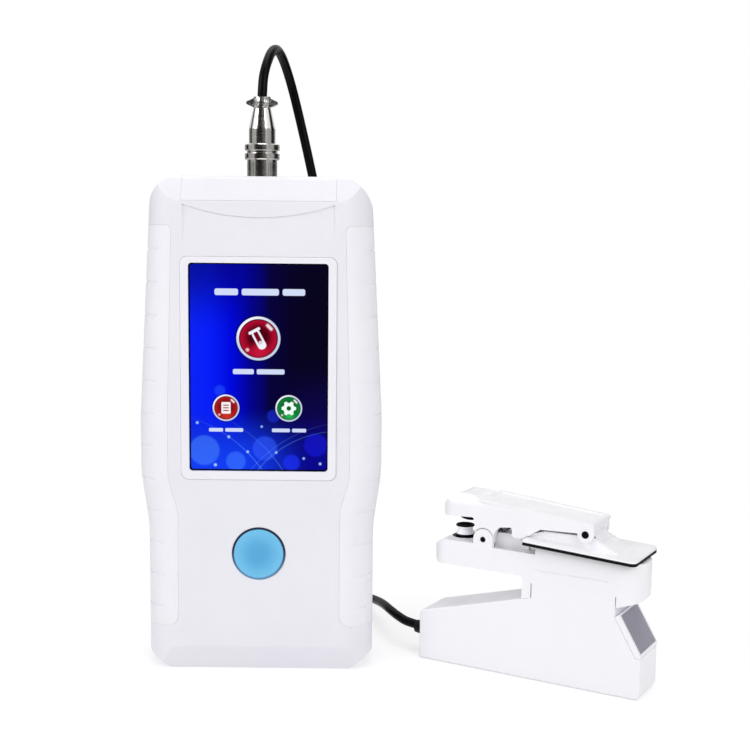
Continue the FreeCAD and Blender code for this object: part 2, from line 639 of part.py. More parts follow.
# Circuit board, its screws and the battery pack
def make_electronics():
    back_y = BOARD_FRONT_Y + BOARD_THICKNESS
    corners = [(-BOARD_HALF_WIDTH, BOARD_LOW_Z, 3), (BOARD_HALF_WIDTH, BOARD_LOW_Z, 3),
               (BOARD_HALF_WIDTH, BOARD_HIGH_Z, 3), (-BOARD_HALF_WIDTH, BOARD_HIGH_Z, 3)]
    board = prism(corners, front_view(BOARD_FRONT_Y), Vector(0, BOARD_THICKNESS, 0))
    screws = []
    for x, z in board_post_places():
        board = board.cut(post(x, z, BOARD_SCREW_RADIUS + PIN_FIT, -FAR, FAR))
        shank = post(x, z, BOARD_SCREW_RADIUS, BOARD_FRONT_Y - BOARD_SCREW_DEPTH, back_y)
        head = post(x, z, 2 * BOARD_SCREW_RADIUS, back_y, back_y + BOARD_SCREW_HEAD_HEIGHT)
        screws.append(shank.fuse(head).removeSplitter())
    export("main_board", board)
    export("board_screws", Part.makeCompound(screws))
    battery_back = HALF_DEPTH - WALL
    half = BATTERY_WIDTH / 2
    corners = [(-half, battery_back - BATTERY_THICKNESS, 3), (half, battery_back - BATTERY_THICKNESS, 3),
               (half, battery_back, 3), (-half, battery_back, 3)]
    export("battery_pack", prism(corners, top_view(BATTERY_LOW_Z), Vector(0, 0, BATTERY_HEIGHT)))
    port = port_box(0)
    mouth = port_box(-0.45)
    mouth.translate(Vector(0, 0, PORT_LENGTH / 3))
    export("charge_port", port.cut(mouth))


# Panel socket on the upright axis
def pin_places():
    return [(PIN_CIRCLE * math.cos(t), PIN_CIRCLE * math.sin(t))
            for t in [2 * math.pi * (k + 0.5) / PIN_COUNT for k in range(PIN_COUNT)]]


FLANGE_TOP_Z = RECESS_FLOOR_Z + SOCKET_FLANGE_THICKNESS
INSERT_TOP_Z = FLANGE_TOP_Z + 4.6
PIN_TOP_Z = SOCKET_BARREL_TOP - 0.6


def make_socket():
    low = RECESS_FLOOR_Z - SOCKET_BODY_LENGTH
    shell = turned([(0, low), (SOCKET_BODY_RADIUS, low), (SOCKET_BODY_RADIUS, RECESS_FLOOR_Z),
                    (SOCKET_FLANGE_RADIUS, RECESS_FLOOR_Z), (SOCKET_FLANGE_RADIUS, FLANGE_TOP_Z - 0.3),
                    (SOCKET_FLANGE_RADIUS - 0.3, FLANGE_TOP_Z), (SOCKET_BARREL_RADIUS - 0.4, FLANGE_TOP_Z),
                    (SOCKET_BARREL_RADIUS - 0.4, RING_LOW_Z + 0.2), (SOCKET_BARREL_RADIUS, RING_LOW_Z + 0.6),
                    (SOCKET_BARREL_RADIUS, SOCKET_BARREL_TOP), (SOCKET_BORE, SOCKET_BARREL_TOP),
                    (SOCKET_BORE, FLANGE_TOP_Z + 1), (0, FLANGE_TOP_Z + 1)])
    export("socket_shell", shell)
    insert = turned([(0, FLANGE_TOP_Z + 1), (SOCKET_BORE - FIT, FLANGE_TOP_Z + 1),
                     (SOCKET_BORE - FIT, INSERT_TOP_Z), (0, INSERT_TOP_Z)])
    for x, y in pin_places():
        insert = insert.cut(rod(PIN_RADIUS, Vector(x, y, FLANGE_TOP_Z + 2), Z_AXIS, FAR))
    export("socket_insert", insert)
    pins = [rod(PIN_RADIUS, Vector(x, y, FLANGE_TOP_Z + 2), Z_AXIS, PIN_TOP_Z - FLANGE_TOP_Z - 2)
            for x, y in pin_places()]
    export("socket_pins", Part.makeCompound(pins))
    hexagon = [(SOCKET_NUT_RADIUS * math.cos(math.radians(a)), SOCKET_NUT_RADIUS * math.sin(math.radians(a)))
               for a in range(0, 360, 60)]
    nut = prism(hexagon, top_view(PANEL_FLOOR_LOW_Z - SOCKET_NUT_THICKNESS), Vector(0, 0, SOCKET_NUT_THICKNESS))
    export("socket_nut", nut.cut(rod(SOCKET_BODY_RADIUS + PIN_FIT, Vector(0, 0, 0), Z_AXIS, FAR * 2)))


# Cable plug: shell with its cone, coupling ring, insert and cable clamp
def make_plug():
    bore = PLUG_NOSE_RADIUS - PLUG_NOSE_WALL
    cable_bore = CABLE_RADIUS + GLAND_CABLE_FIT
    shell = turned([(bore, INSERT_TOP_Z + FIT), (PLUG_NOSE_RADIUS, INSERT_TOP_Z + FIT),
                    (PLUG_NOSE_RADIUS, PLUG_SHOULDER_Z), (PLUG_BARREL_RADIUS, PLUG_SHOULDER_Z),
                    (PLUG_BARREL_RADIUS, PLUG_CONE_LOW_Z), (PLUG_CONE_TOP_RADIUS, PLUG_CONE_HIGH_Z),
                    (cable_bore, PLUG_CONE_HIGH_Z), (cable_bore, PLUG_CONE_LOW_Z), (bore, PLUG_CONE_LOW_Z - 2)])
    export("plug_shell", shell)
    insert = turned([(0, INSERT_TOP_Z + FIT), (bore, INSERT_TOP_Z + FIT), (bore, PLUG_SHOULDER_Z + 6),
                     (0, PLUG_SHOULDER_Z + 6)])
    for x, y in pin_places():
        insert = insert.cut(rod(PIN_RADIUS + PIN_FIT, Vector(x, y, 0), Z_AXIS, PIN_TOP_Z + 0.3))
    export("plug_insert", insert)

    inner = PLUG_BARREL_RADIUS + RING_RUNNING_FIT
    middle = (RING_COLLAR_LOW_Z + RING_COLLAR_HIGH_Z) / 2
    half_groove = RING_GROOVE_WIDTH / 2
    ring = turned([(inner, RING_LOW_Z), (RING_SLEEVE_RADIUS, RING_LOW_Z), (RING_SLEEVE_RADIUS, RING_COLLAR_LOW_Z),
                   (RING_COLLAR_RADIUS - 0.4, RING_COLLAR_LOW_Z), (RING_COLLAR_RADIUS, RING_COLLAR_LOW_Z + 0.4),
                   (RING_COLLAR_RADIUS, middle - half_groove), (RING_GROOVE_RADIUS, middle - half_groove + 0.3),
                   (RING_GROOVE_RADIUS, middle + half_groove - 0.3), (RING_COLLAR_RADIUS, middle + half_groove),
                   (RING_COLLAR_RADIUS, RING_COLLAR_HIGH_Z - 0.4), (RING_COLLAR_RADIUS - 0.4, RING_COLLAR_HIGH_Z),
                   (inner, RING_COLLAR_HIGH_Z)])
    slots = []
    for k in range(KNURL_COUNT):
        slot = box(RING_SLEEVE_RADIUS - KNURL_DEPTH, RING_SLEEVE_RADIUS + 1, -KNURL_WIDTH / 2, KNURL_WIDTH / 2,
                   RING_LOW_Z + 1, RING_COLLAR_LOW_Z - 1)
        slot.rotate(Vector(0, 0, 0), Z_AXIS, k * 360 / KNURL_COUNT)
        slots.append(slot)
    export("coupling_ring", ring.cut(Part.makeCompound(slots)))

    low = PLUG_CONE_HIGH_Z
    collar = rod(SADDLE_COLLAR_RADIUS, Vector(0, 0, low), Z_AXIS, SADDLE_HEIGHT)
    screw_z = low + SADDLE_HEIGHT / 2
    wide, tip = SADDLE_HALF_WIDTH, SADDLE_TIP_HALF_HEIGHT
    ears = prism([(-wide, screw_z - tip, 0.2), (0, screw_z - SADDLE_APEX, SADDLE_APEX_RADIUS),
                  (wide, screw_z - tip, 0.2), (wide, screw_z + tip, 0.2),
                  (0, screw_z + SADDLE_APEX, SADDLE_APEX_RADIUS), (-wide, screw_z + tip, 0.2)],
                 front_view(-SADDLE_EAR_HALF_DEPTH), Vector(0, 2 * SADDLE_EAR_HALF_DEPTH, 0))
    saddle = collar.fuse(ears).cut(rod(cable_bore, Vector(0, 0, 0), Z_AXIS, FAR * 2))
    screws = []
    for x in (-SADDLE_SCREW_X, SADDLE_SCREW_X):
        saddle = saddle.cut(rod(SADDLE_SCREW_RADIUS + PIN_FIT, Vector(x, -FAR, screw_z), Y_AXIS, 2 * FAR))
        start = -SADDLE_EAR_HALF_DEPTH - SADDLE_SCREW_HEAD_HEIGHT
        head = rod(SADDLE_SCREW_HEAD_RADIUS, Vector(x, start, screw_z), Y_AXIS, SADDLE_SCREW_HEAD_HEIGHT)
        slot = box(x - 2, x + 2, start - 1, start + 0.4, screw_z - 0.2, screw_z + 0.2)
        shank = rod(SADDLE_SCREW_RADIUS, Vector(x, start + 0.5, screw_z), Y_AXIS,
                    2 * SADDLE_EAR_HALF_DEPTH + SADDLE_SCREW_HEAD_HEIGHT)
        screws.append(head.cut(slot).fuse(shank).removeSplitter())
    saddle = saddle.removeSplitter()
    export("clamp_front", saddle.common(box(-FAR, FAR, -FAR, -SADDLE_GAP / 2, 0, FAR * 2)))
    export("clamp_rear", saddle.common(box(-FAR, FAR, SADDLE_GAP / 2, FAR, 0, FAR * 2)))
    export("clamp_screws", Part.makeCompound(screws))


# Cable: routes chosen by hand, from the plug to the coil and from the coil to the clip's gland
LEAD_ROUTE = [(0.0, 0.0, PLUG_CONE_HIGH_Z), (0.0, 0.0, UNIT_HEIGHT + 42.4), (2.0, 10.6, UNIT_HEIGHT + 53.1),
              (6.6, 25.4, UNIT_HEIGHT + 53.1), (9.8, 36.0, UNIT_HEIGHT + 42.2), (14.0, 37.6, UNIT_HEIGHT + 25.0),
              (18.6, 38.0, UNIT_HEIGHT + 4.0), (22.9, 38.8, UNIT_HEIGHT - 17.0), (26.8, 39.8, UNIT_HEIGHT - 41.0),
              (29.4, 40.4, UNIT_HEIGHT - 68.0), (31.8, 40.0, UNIT_HEIGHT - 98.0), (33.2, 40.8, 80.0),
              (34.8, 40.2, 54.0), (33.6, 40.2, 32.0), (22.0, 41.4, 15.8),
              (COIL_X, COIL_Y - COIL_INNER_TURN, 13.8)]
TAIL_ROUTE = [(COIL_X, COIL_Y + COIL_OUTER_TURN, 9.2), (22.0, 86.8, 7.4), (34.0, 82.0, 3.4), (42.8, 72.4, 2.1),
              (48.8, 60.0, 2.0), (53.4, 47.6, 3.1), (55.4, 35.4, 5.8), (56.2, 24.0, 8.4)]


def gland_point(u):
    return CLIP_PLACEMENT.multVec(Vector(u, CLIP_MIDDLE, GLAND_Z))


def tube(route, radius):
    """A tube along straight runs, with an arc at each inner point as large as its two runs allow."""
    points = [Vector(*p) for p in route]
    edges = []
    radii = []
    here = points[0]
    for before, corner, after in zip(points, points[1:], points[2:]):
        back, ahead = before - corner, after - corner
        reach = 0.45 * min(back.Length, ahead.Length)
        back.normalize()
        ahead.normalize()
        half_turn = (math.pi - back.getAngle(ahead)) / 2
        bend = reach / math.tan(half_turn)
        radii.append(bend)
        start, end = corner + back * reach, corner + ahead * reach
        middle = back + ahead
        middle.normalize()
        nearest = corner + middle * (bend / math.cos(half_turn) - bend)
        edges.append(Part.LineSegment(here, start).toShape())
        edges.append(Part.Arc(start, nearest, end).toShape())
        here = end
    edges.append(Part.LineSegment(here, points[-1]).toShape())
    path = Part.Wire(edges)
    direction = points[1] - points[0]
    section = Part.Wire(Part.makeCircle(radius, points[0], direction))
    solid = path.makePipeShell([section], True, False)
    print("cord length %.0f mm, radii %s, volume share %.4f"
          % (path.Length, " ".join("%.1f" % r for r in radii),
             solid.Volume / (path.Length * math.pi * radius ** 2)))
    return solid


def make_cable():
    tail = TAIL_ROUTE + [tuple(gland_point(-GLAND_LENGTH - GLAND_LEAD)), tuple(gland_point(HOUSING_WALL))]
    export("cable_lead", tube(LEAD_ROUTE, CABLE_RADIUS))
    export("cable_tail", tube(tail, CABLE_RADIUS))
    low = TIE_THICKNESS + FIT
    inner = COIL_INNER_TURN - CABLE_RADIUS
    outer = COIL_OUTER_TURN + CABLE_RADIUS
    bend = CABLE_RADIUS
    section = outline([(inner, low, bend), (outer, low, bend), (outer, low + COIL_HEIGHT, bend),
                       (inner, low + COIL_HEIGHT, bend)], lambda p, q: Vector(COIL_X + p, COIL_Y, q))
    export("cable_coil", Part.Face(section).revolve(Vector(COIL_X, COIL_Y, 0), Z_AXIS, 360))
    near = math.sqrt(inner ** 2 - (TIE_WIDTH / 2) ** 2) - FIT
    far = outer + FIT
    loop = box(-far - TIE_THICKNESS, -near + TIE_THICKNESS, -TIE_WIDTH / 2, TIE_WIDTH / 2,
               0, low + COIL_HEIGHT + FIT + TIE_THICKNESS)
    loop = loop.cut(box(-far, -near, -FAR, FAR, TIE_THICKNESS, low + COIL_HEIGHT + FIT))
    loop.translate(Vector(COIL_X, COIL_Y, 0))
    export("cable_tie", loop)


# Clip housing: two moulded halves, the sloped end cap with its inlay, and the foot plate
def slope_direction():
    along = Vector(HOUSING_RIGHT_TOP_U - HOUSING_LENGTH, 0, HOUSING_RIGHT_TOP_Z - HOUSING_RIGHT_LOW_Z)
    along.normalize()
    return along, Vector(-along.z, 0, along.x)


def housing_corners(inset):
    """Profile of the housing, u and z, with the slope set in by the end cap's thickness."""
    along, inward = slope_direction()
    low = Vector(HOUSING_LENGTH, 0, HOUSING_RIGHT_LOW_Z) + inward * (END_CAP_THICKNESS + END_CAP_SEAM + inset)
    high = Vector(HOUSING_RIGHT_TOP_U, 0, HOUSING_RIGHT_TOP_Z) + inward * (END_CAP_THICKNESS + END_CAP_SEAM + inset)
    right = HOUSING_LENGTH - inset
    step = HOUSING_RIGHT_TOP_Z - inset
    lean = along.x / along.z
    ledge_z = HOUSING_RIGHT_LOW_Z - END_CAP_FOOT - inset
    ledge_u = low.x + (ledge_z - low.z) * lean
    high_u = high.x + (step - high.z) * lean
    rise = (HOUSING_SLOPE_TOP_Z - HOUSING_LEFT_HEIGHT) / HOUSING_NECK_LEFT
    corner = max(HOUSING_CORNER - inset, 0)
    neck_left, neck_right = HOUSING_NECK_LEFT + inset, HOUSING_NECK_RIGHT - inset
    drop = inset * math.sqrt(1 + rise ** 2)
    corners = [(inset, inset, 0), (right, inset, corner), (right, ledge_z, 0), (ledge_u, ledge_z, 0)]
    if high_u > neck_right:
        corners += [(high_u, step, 0), (neck_right, step, 0)]
    else:
        corners += [(neck_right, high.z + (neck_right - high.x) / lean, 0)]
    corners += [(neck_right, HOUSING_NECK_TOP_Z - inset, 0), (neck_left, HOUSING_NECK_TOP_Z - inset, 0),
                (neck_left, HOUSING_LEFT_HEIGHT + rise * neck_left - drop, 0),
                (inset, HOUSING_LEFT_HEIGHT + rise * inset - drop, corner)]
    return corners


def clip_prism(corners, v0, v1):
    return prism(corners, front_view(v0), Vector(0, v1 - v0, 0))


def foot_screw_places():
    return [(FOOT_SCREW_LEFT_U, CLIP_MIDDLE), (FOOT_SCREW_RIGHT_U, CLIP_MIDDLE)]


def make_housing():
    whole = clip_prism(housing_corners(0), 0, CLIP_WIDTH)
    edges = [e for e in whole.Edges
             if all(abs(v.Point.y) < 1e-6 or abs(v.Point.y - CLIP_WIDTH) < 1e-6 for v in e.Vertexes)
             and abs(e.Vertexes[0].Point.y - e.Vertexes[-1].Point.y) < 1e-6
             and all(v.Point.z > 1 and v.Point.z < HOUSING_NECK_TOP_Z - 1 for v in e.Vertexes)]
    whole = whole.makeChamfer(0.5, edges)
    inside = clip_prism(housing_corners(HOUSING_WALL), HOUSING_WALL, CLIP_WIDTH - HOUSING_WALL)
    shell = whole.cut(inside)
    margin = FOOT_PLATE_MARGIN
    plate_corners = [(margin, margin, 1.5), (HOUSING_LENGTH - margin, margin, 1.5),
                     (HOUSING_LENGTH - margin, CLIP_WIDTH - margin, 1.5), (margin, CLIP_WIDTH - margin, 1.5)]
    grown = [(p + (FIT if p > margin else -FIT), q + (FIT if q > margin else -FIT), r) for p, q, r in plate_corners]
    shell = shell.cut(prism(grown, top_view(-1), Vector(0, 0, FOOT_PLATE_THICKNESS + 1)))
    shell = shell.cut(rod(GLAND_TIP_RADIUS + 0.6 + FIT, Vector(-1, CLIP_MIDDLE, GLAND_Z), X_AXIS, HOUSING_WALL + 2))
    plate = prism(plate_corners, top_view(0), Vector(0, 0, FOOT_PLATE_THICKNESS))
    screws = []
    for u, v in foot_screw_places():
        boss = rod(FOOT_POST_RADIUS, Vector(u, v, FOOT_PLATE_THICKNESS + FIT), Z_AXIS, FOOT_SCREW_LENGTH + 1)
        web = box(u - 1, u + 1, 1, CLIP_WIDTH - 1, FOOT_PLATE_THICKNESS + FIT, FOOT_PLATE_THICKNESS + FOOT_SCREW_LENGTH)
        shell = shell.fuse(boss).fuse(web)
        shank = rod(FOOT_SCREW_RADIUS, Vector(u, v, 0.2), Z_AXIS, FOOT_PLATE_THICKNESS + FOOT_SCREW_LENGTH)
        head = rod(FOOT_SCREW_HEAD_RADIUS, Vector(u, v, 0.2), Z_AXIS, FOOT_SCREW_HEAD_HEIGHT)
        slot = box(u - 3, u + 3, v - 0.3, v + 0.3, 0, 0.7)
        screws.append(head.fuse(shank).cut(slot).removeSplitter())
        room = rod(FOOT_SCREW_RADIUS + PIN_FIT, Vector(u, v, -1), Z_AXIS, FOOT_PLATE_THICKNESS + FOOT_SCREW_LENGTH + 2)
        seat = rod(FOOT_SCREW_HEAD_RADIUS + FIT, Vector(u, v, -1), Z_AXIS, FOOT_SCREW_HEAD_HEIGHT + 1.2)
        shell = shell.cut(room)
        plate = plate.cut(room).cut(seat)
    near = box(-FAR, FAR, -FAR, CLIP_MIDDLE, -FAR, FAR)
    export_clip("housing_near_half", shell.common(near).removeSplitter())
    export_clip("housing_far_half", shell.cut(near).removeSplitter())
    export_clip("foot_plate", plate)
    export_clip("foot_screws", Part.makeCompound(screws))

    along, inward = slope_direction()
    low = Vector(HOUSING_LENGTH, 0, HOUSING_RIGHT_LOW_Z)
    high = Vector(HOUSING_RIGHT_TOP_U, 0, HOUSING_RIGHT_TOP_Z)
    foot_z = HOUSING_RIGHT_LOW_Z - END_CAP_FOOT + END_CAP_SEAM
    heel = low + inward * END_CAP_THICKNESS
    heel = heel + along * ((foot_z - heel.z) / along.z)
    section = [Vector(HOUSING_LENGTH, 0, foot_z), low, high, high + inward * END_CAP_THICKNESS, heel]
    cap = clip_prism([(w.x, w.z) for w in section], 0, CLIP_WIDTH)
    start, end = low + along * INLAY_END_MARGIN, high - along * INLAY_END_MARGIN
    depth = inward * (INLAY_SETBACK + INLAY_THICKNESS)
    pocket = [start - inward, end - inward, end + depth, start + depth]
    cap = cap.cut(clip_prism([(w.x, w.z) for w in pocket], INLAY_NEAR_MARGIN, CLIP_WIDTH - INLAY_FAR_MARGIN))
    export_clip("end_cap", cap)
    trim = along * FIT
    sheet = [start + trim + inward * INLAY_SETBACK, end - trim + inward * INLAY_SETBACK, end - trim + depth,
             start + trim + depth]
    export_clip("end_inlay", clip_prism([(w.x, w.z) for w in sheet], INLAY_NEAR_MARGIN + FIT,
                                        CLIP_WIDTH - INLAY_FAR_MARGIN - FIT))

    gland_bore = CABLE_RADIUS + GLAND_CABLE_FIT
    gland = turned([(gland_bore, -GLAND_LENGTH), (GLAND_TIP_RADIUS, -GLAND_LENGTH), (GLAND_ROOT_RADIUS, -1.2),
                    (GLAND_FLANGE_RADIUS, -1.2), (GLAND_FLANGE_RADIUS, -FIT), (GLAND_TIP_RADIUS + 0.6, -FIT),
                    (GLAND_TIP_RADIUS + 0.6, HOUSING_WALL), (gland_bore, HOUSING_WALL)], axis=X_AXIS)
    gland.translate(Vector(0, CLIP_MIDDLE, GLAND_Z))
    export_clip("cable_gland", gland)
    half = CLIP_BOARD_THICKNESS / 2
    board = box(CLIP_BOARD_LEFT_U, CLIP_BOARD_RIGHT_U, CLIP_MIDDLE - half, CLIP_MIDDLE + half,
                CLIP_BOARD_LOW_Z, CLIP_BOARD_HIGH_Z)
    holders = []
    for left in (CLIP_BOARD_LEFT_U + HOLDER_INSET, CLIP_BOARD_RIGHT_U - HOLDER_INSET - HOLDER_WIDTH):
        holder = box(left, left + HOLDER_WIDTH, HOUSING_WALL + FIT, CLIP_WIDTH - HOUSING_WALL - FIT,
                     HOLDER_LOW_Z, HOLDER_HIGH_Z)
        holders.append(holder.cut(board))
    export_clip("clip_board", board)
    export_clip("board_holders", Part.makeCompound(holders))


# Lower arm: moulded beam on the housing's neck, with the lugs of the jaw pin
def lower_arm_corners():
    foot_low = HOUSING_LEFT_HEIGHT + (HOUSING_SLOPE_TOP_Z - HOUSING_LEFT_HEIGHT) * ARM_FOOT_U / HOUSING_NECK_LEFT
    foot_end = ARM_FOOT_U + ARM_FOOT_WIDTH
    foot_high = foot_low + (HOUSING_SLOPE_TOP_Z - HOUSING_LEFT_HEIGHT) * ARM_FOOT_WIDTH / HOUSING_NECK_LEFT
    seat = HOUSING_NECK_TOP_Z
    rear = HOUSING_NECK_RIGHT + 0.4
    return [(ARM_NOSE_U + 3.4, ARM_UNDER_Z, 3), (ARM_FOOT_U, ARM_UNDER_Z, 1.2), (ARM_FOOT_U, foot_low + FIT, 0),
            (foot_end, foot_high + FIT, 0), (foot_end, seat, 0), (rear, seat, 0), (rear, ARM_REAR_UNDER_Z, 0),
            (ARM_END_U, ARM_REAR_UNDER_Z + 2.6, 3), (ARM_END_U, ARM_TOP_Z, 2.4), (ARM_FRONT_END_U + 10, ARM_TOP_Z, 0),
            (ARM_FRONT_END_U + 8, ARM_FRONT_TOP_Z, 0), (ARM_NOSE_U + 6, ARM_FRONT_TOP_Z, 3),
            (ARM_NOSE_U + 0.6, ARM_FRONT_TOP_Z - 3.4, 2), (ARM_NOSE_U, ARM_UNDER_Z + 3.0, 2)]


def plan_prism(u0, u1, v0, v1, left_radius, right_radius):
    corners = [(u0, v0, left_radius), (u1, v0, right_radius), (u1, v1, right_radius), (u0, v1, left_radius)]
    return prism(corners, top_view(0), Vector(0, 0, FAR))


def lug_solid():
    top = clip_prism([(JAW_PIN_U - LUG_RADIUS, ARM_UNDER_Z + 2), (JAW_PIN_U + LUG_RADIUS, ARM_UNDER_Z + 2),
                      (JAW_PIN_U + LUG_RADIUS, JAW_PIN_Z), (JAW_PIN_U - LUG_RADIUS, JAW_PIN_Z)], 0, CLIP_WIDTH)
    return top.fuse(rod(LUG_RADIUS, Vector(JAW_PIN_U, 0, JAW_PIN_Z), Y_AXIS, CLIP_WIDTH))


def pad_low_z(u):
    """Height of the lever pad's underside at rest."""
    turn = math.radians(LEVER_TILT)
    drop = LEVER_PIN_Z - (LEVER_PLATE_TOP_Z - LEVER_PLATE_THICKNESS - LEVER_PAD_THICKNESS)
    return LEVER_PIN_Z - drop / math.cos(turn) - (u - LEVER_PIN_U) * math.tan(turn)


def arm_rim():
    """Raised rim of the lower arm, which follows the underside of the lever pad."""
    left, right = ARM_RIM_LEFT_U, ARM_END_U
    rim = clip_prism([(left, ARM_TOP_Z - 3), (right, ARM_TOP_Z - 3), (right, pad_low_z(right) - ARM_RIM_GAP, 0.5),
                      (left, pad_low_z(left) - ARM_RIM_GAP, 0.5)], 0, CLIP_WIDTH)
    return rim.cut(box(left - 1, ARM_RIM_END_U, ARM_SIDE_WALL, CLIP_WIDTH - ARM_SIDE_WALL, ARM_TOP_Z, FAR))


def make_lower_arm():
    beam = clip_prism(lower_arm_corners(), 0, CLIP_WIDTH).fuse(arm_rim())
    beam = beam.common(plan_prism(ARM_NOSE_U, ARM_END_U, 0, CLIP_WIDTH, ARM_NOSE_PLAN_RADIUS, ARM_END_PLAN_RADIUS))
    beam = beam.fuse(lug_solid()).removeSplitter()
    channel = box(ARM_FRONT_END_U, ARM_CHANNEL_END_U, ARM_SIDE_WALL, CLIP_WIDTH - ARM_SIDE_WALL,
                  ARM_CHANNEL_FLOOR_Z, FAR)
    beam = beam.cut(channel)
    beam = beam.cut(rod(JAW_PIN_RADIUS + PIN_FIT, Vector(JAW_PIN_U, -FAR, JAW_PIN_Z), Y_AXIS, 2 * FAR))
    beam = beam.cut(rod(TURRET_BASE_RADIUS + FIT, Vector(HEAD_U, CLIP_MIDDLE, TURRET_BASE_Z), Z_AXIS, FAR))
    beam = beam.cut(rod(TURRET_RADIUS - 1.2, Vector(HEAD_U, CLIP_MIDDLE, TURRET_BASE_Z - 4), Z_AXIS, FAR))
    for v0, v1 in ((-1, ARM_LINE_DEPTH), (CLIP_WIDTH - ARM_LINE_DEPTH, CLIP_WIDTH + 1)):
        beam = beam.cut(box(HOUSING_NECK_LEFT + 1, HOUSING_NECK_RIGHT - 3, v0, v1,
                            ARM_LINE_Z - ARM_LINE_WIDTH / 2, ARM_LINE_Z + ARM_LINE_WIDTH / 2))
    export_clip("lower_arm", beam)

    centre = Vector(HEAD_U, CLIP_MIDDLE, 0)
    base = turned([(TURRET_RADIUS - 1.4, TURRET_BASE_Z), (TURRET_BASE_RADIUS, TURRET_BASE_Z),
                   (TURRET_BASE_RADIUS, TURRET_BASE_Z + 1.4), (TURRET_RADIUS + 0.2, TURRET_BASE_Z + 1.4),
                   (TURRET_RADIUS + 0.2, TURRET_BASE_TOP_Z), (TURRET_RADIUS - 1.4, TURRET_BASE_TOP_Z)], centre)
    export_clip("turret_base", base)
    waist_z = (TURRET_BASE_TOP_Z + LIGHT_PIPE_TOP_Z) / 2
    pipe = turned([(0, TURRET_BASE_Z - 3), (TURRET_RADIUS - 1.4 - FIT, TURRET_BASE_Z - 3),
                   (TURRET_RADIUS - 1.4 - FIT, TURRET_BASE_TOP_Z), (TURRET_RADIUS, TURRET_BASE_TOP_Z),
                   (TURRET_RADIUS - PIPE_WAIST, waist_z - 0.3), (TURRET_RADIUS - PIPE_WAIST, waist_z + 0.3),
                   (TURRET_RADIUS, LIGHT_PIPE_TOP_Z), (0, LIGHT_PIPE_TOP_Z)], centre)
    export_clip("light_pipe", pipe)
    gasket = turned([(TURRET_RADIUS - 1.5, LIGHT_PIPE_TOP_Z), (TURRET_RADIUS + 0.2, LIGHT_PIPE_TOP_Z),
                     (TURRET_RADIUS + 0.2, GASKET_TOP_Z - 0.3), (TURRET_RADIUS - 0.1, GASKET_TOP_Z),
                     (TURRET_RADIUS - 1.5, GASKET_TOP_Z)], centre)
    export_clip("lower_gasket", gasket)


# Upper arm: nose with the upper head, roof and two cheeks that reach from pin to pin
def open_from_closed(shape):
    """Turns a piece drawn with the jaw closed to where it lies at rest, with the jaw open."""
    moved = shape.copy()
    moved.rotate(Vector(JAW_PIN_U, 0, JAW_PIN_Z), Y_AXIS, JAW_CLOSE_TURN)
    return moved


UPPER_LOW_V = UPPER_MARGIN
UPPER_HIGH_V = CLIP_WIDTH - UPPER_MARGIN
HUB_V = ARM_SIDE_WALL + 0.2
TOP_SLOPE = (UPPER_TOP_REAR_Z - UPPER_TOP_FRONT_Z) / (UPPER_END_U - UPPER_TOP_FRONT_U)


def upper_top_z(u):
    return UPPER_TOP_FRONT_Z + TOP_SLOPE * (u - UPPER_TOP_FRONT_U)


def upper_corners():
    """Profile of the upper arm at rest, from the nose along the underside and cheeks, and back over the top."""
    cover = UPPER_COVER_THICKNESS
    hub = [(JAW_PIN_U - UPPER_HUB_RADIUS, JAW_PIN_Z, 0), (JAW_PIN_U + UPPER_HUB_RADIUS, JAW_PIN_Z, 0)]
    ear = [(LEVER_PIN_U - UPPER_EAR_RADIUS, LEVER_PIN_Z + 0.2, 0), (LEVER_PIN_U - UPPER_EAR_RADIUS, LEVER_PIN_Z, 0),
           (LEVER_PIN_U + UPPER_EAR_RADIUS, LEVER_PIN_Z, 0)]
    roof = [(UPPER_END_U, upper_top_z(UPPER_END_U) - cover, 0), (UPPER_TOP_FRONT_U, UPPER_TOP_FRONT_Z - cover, 0),
            (UPPER_TOP_FRONT_U, UPPER_TOP_FRONT_Z - cover / 2, 0)]
    return UPPER_NOSE_PROFILE + hub + UPPER_CHEEK_PROFILE + ear + roof + UPPER_HUMP_PROFILE


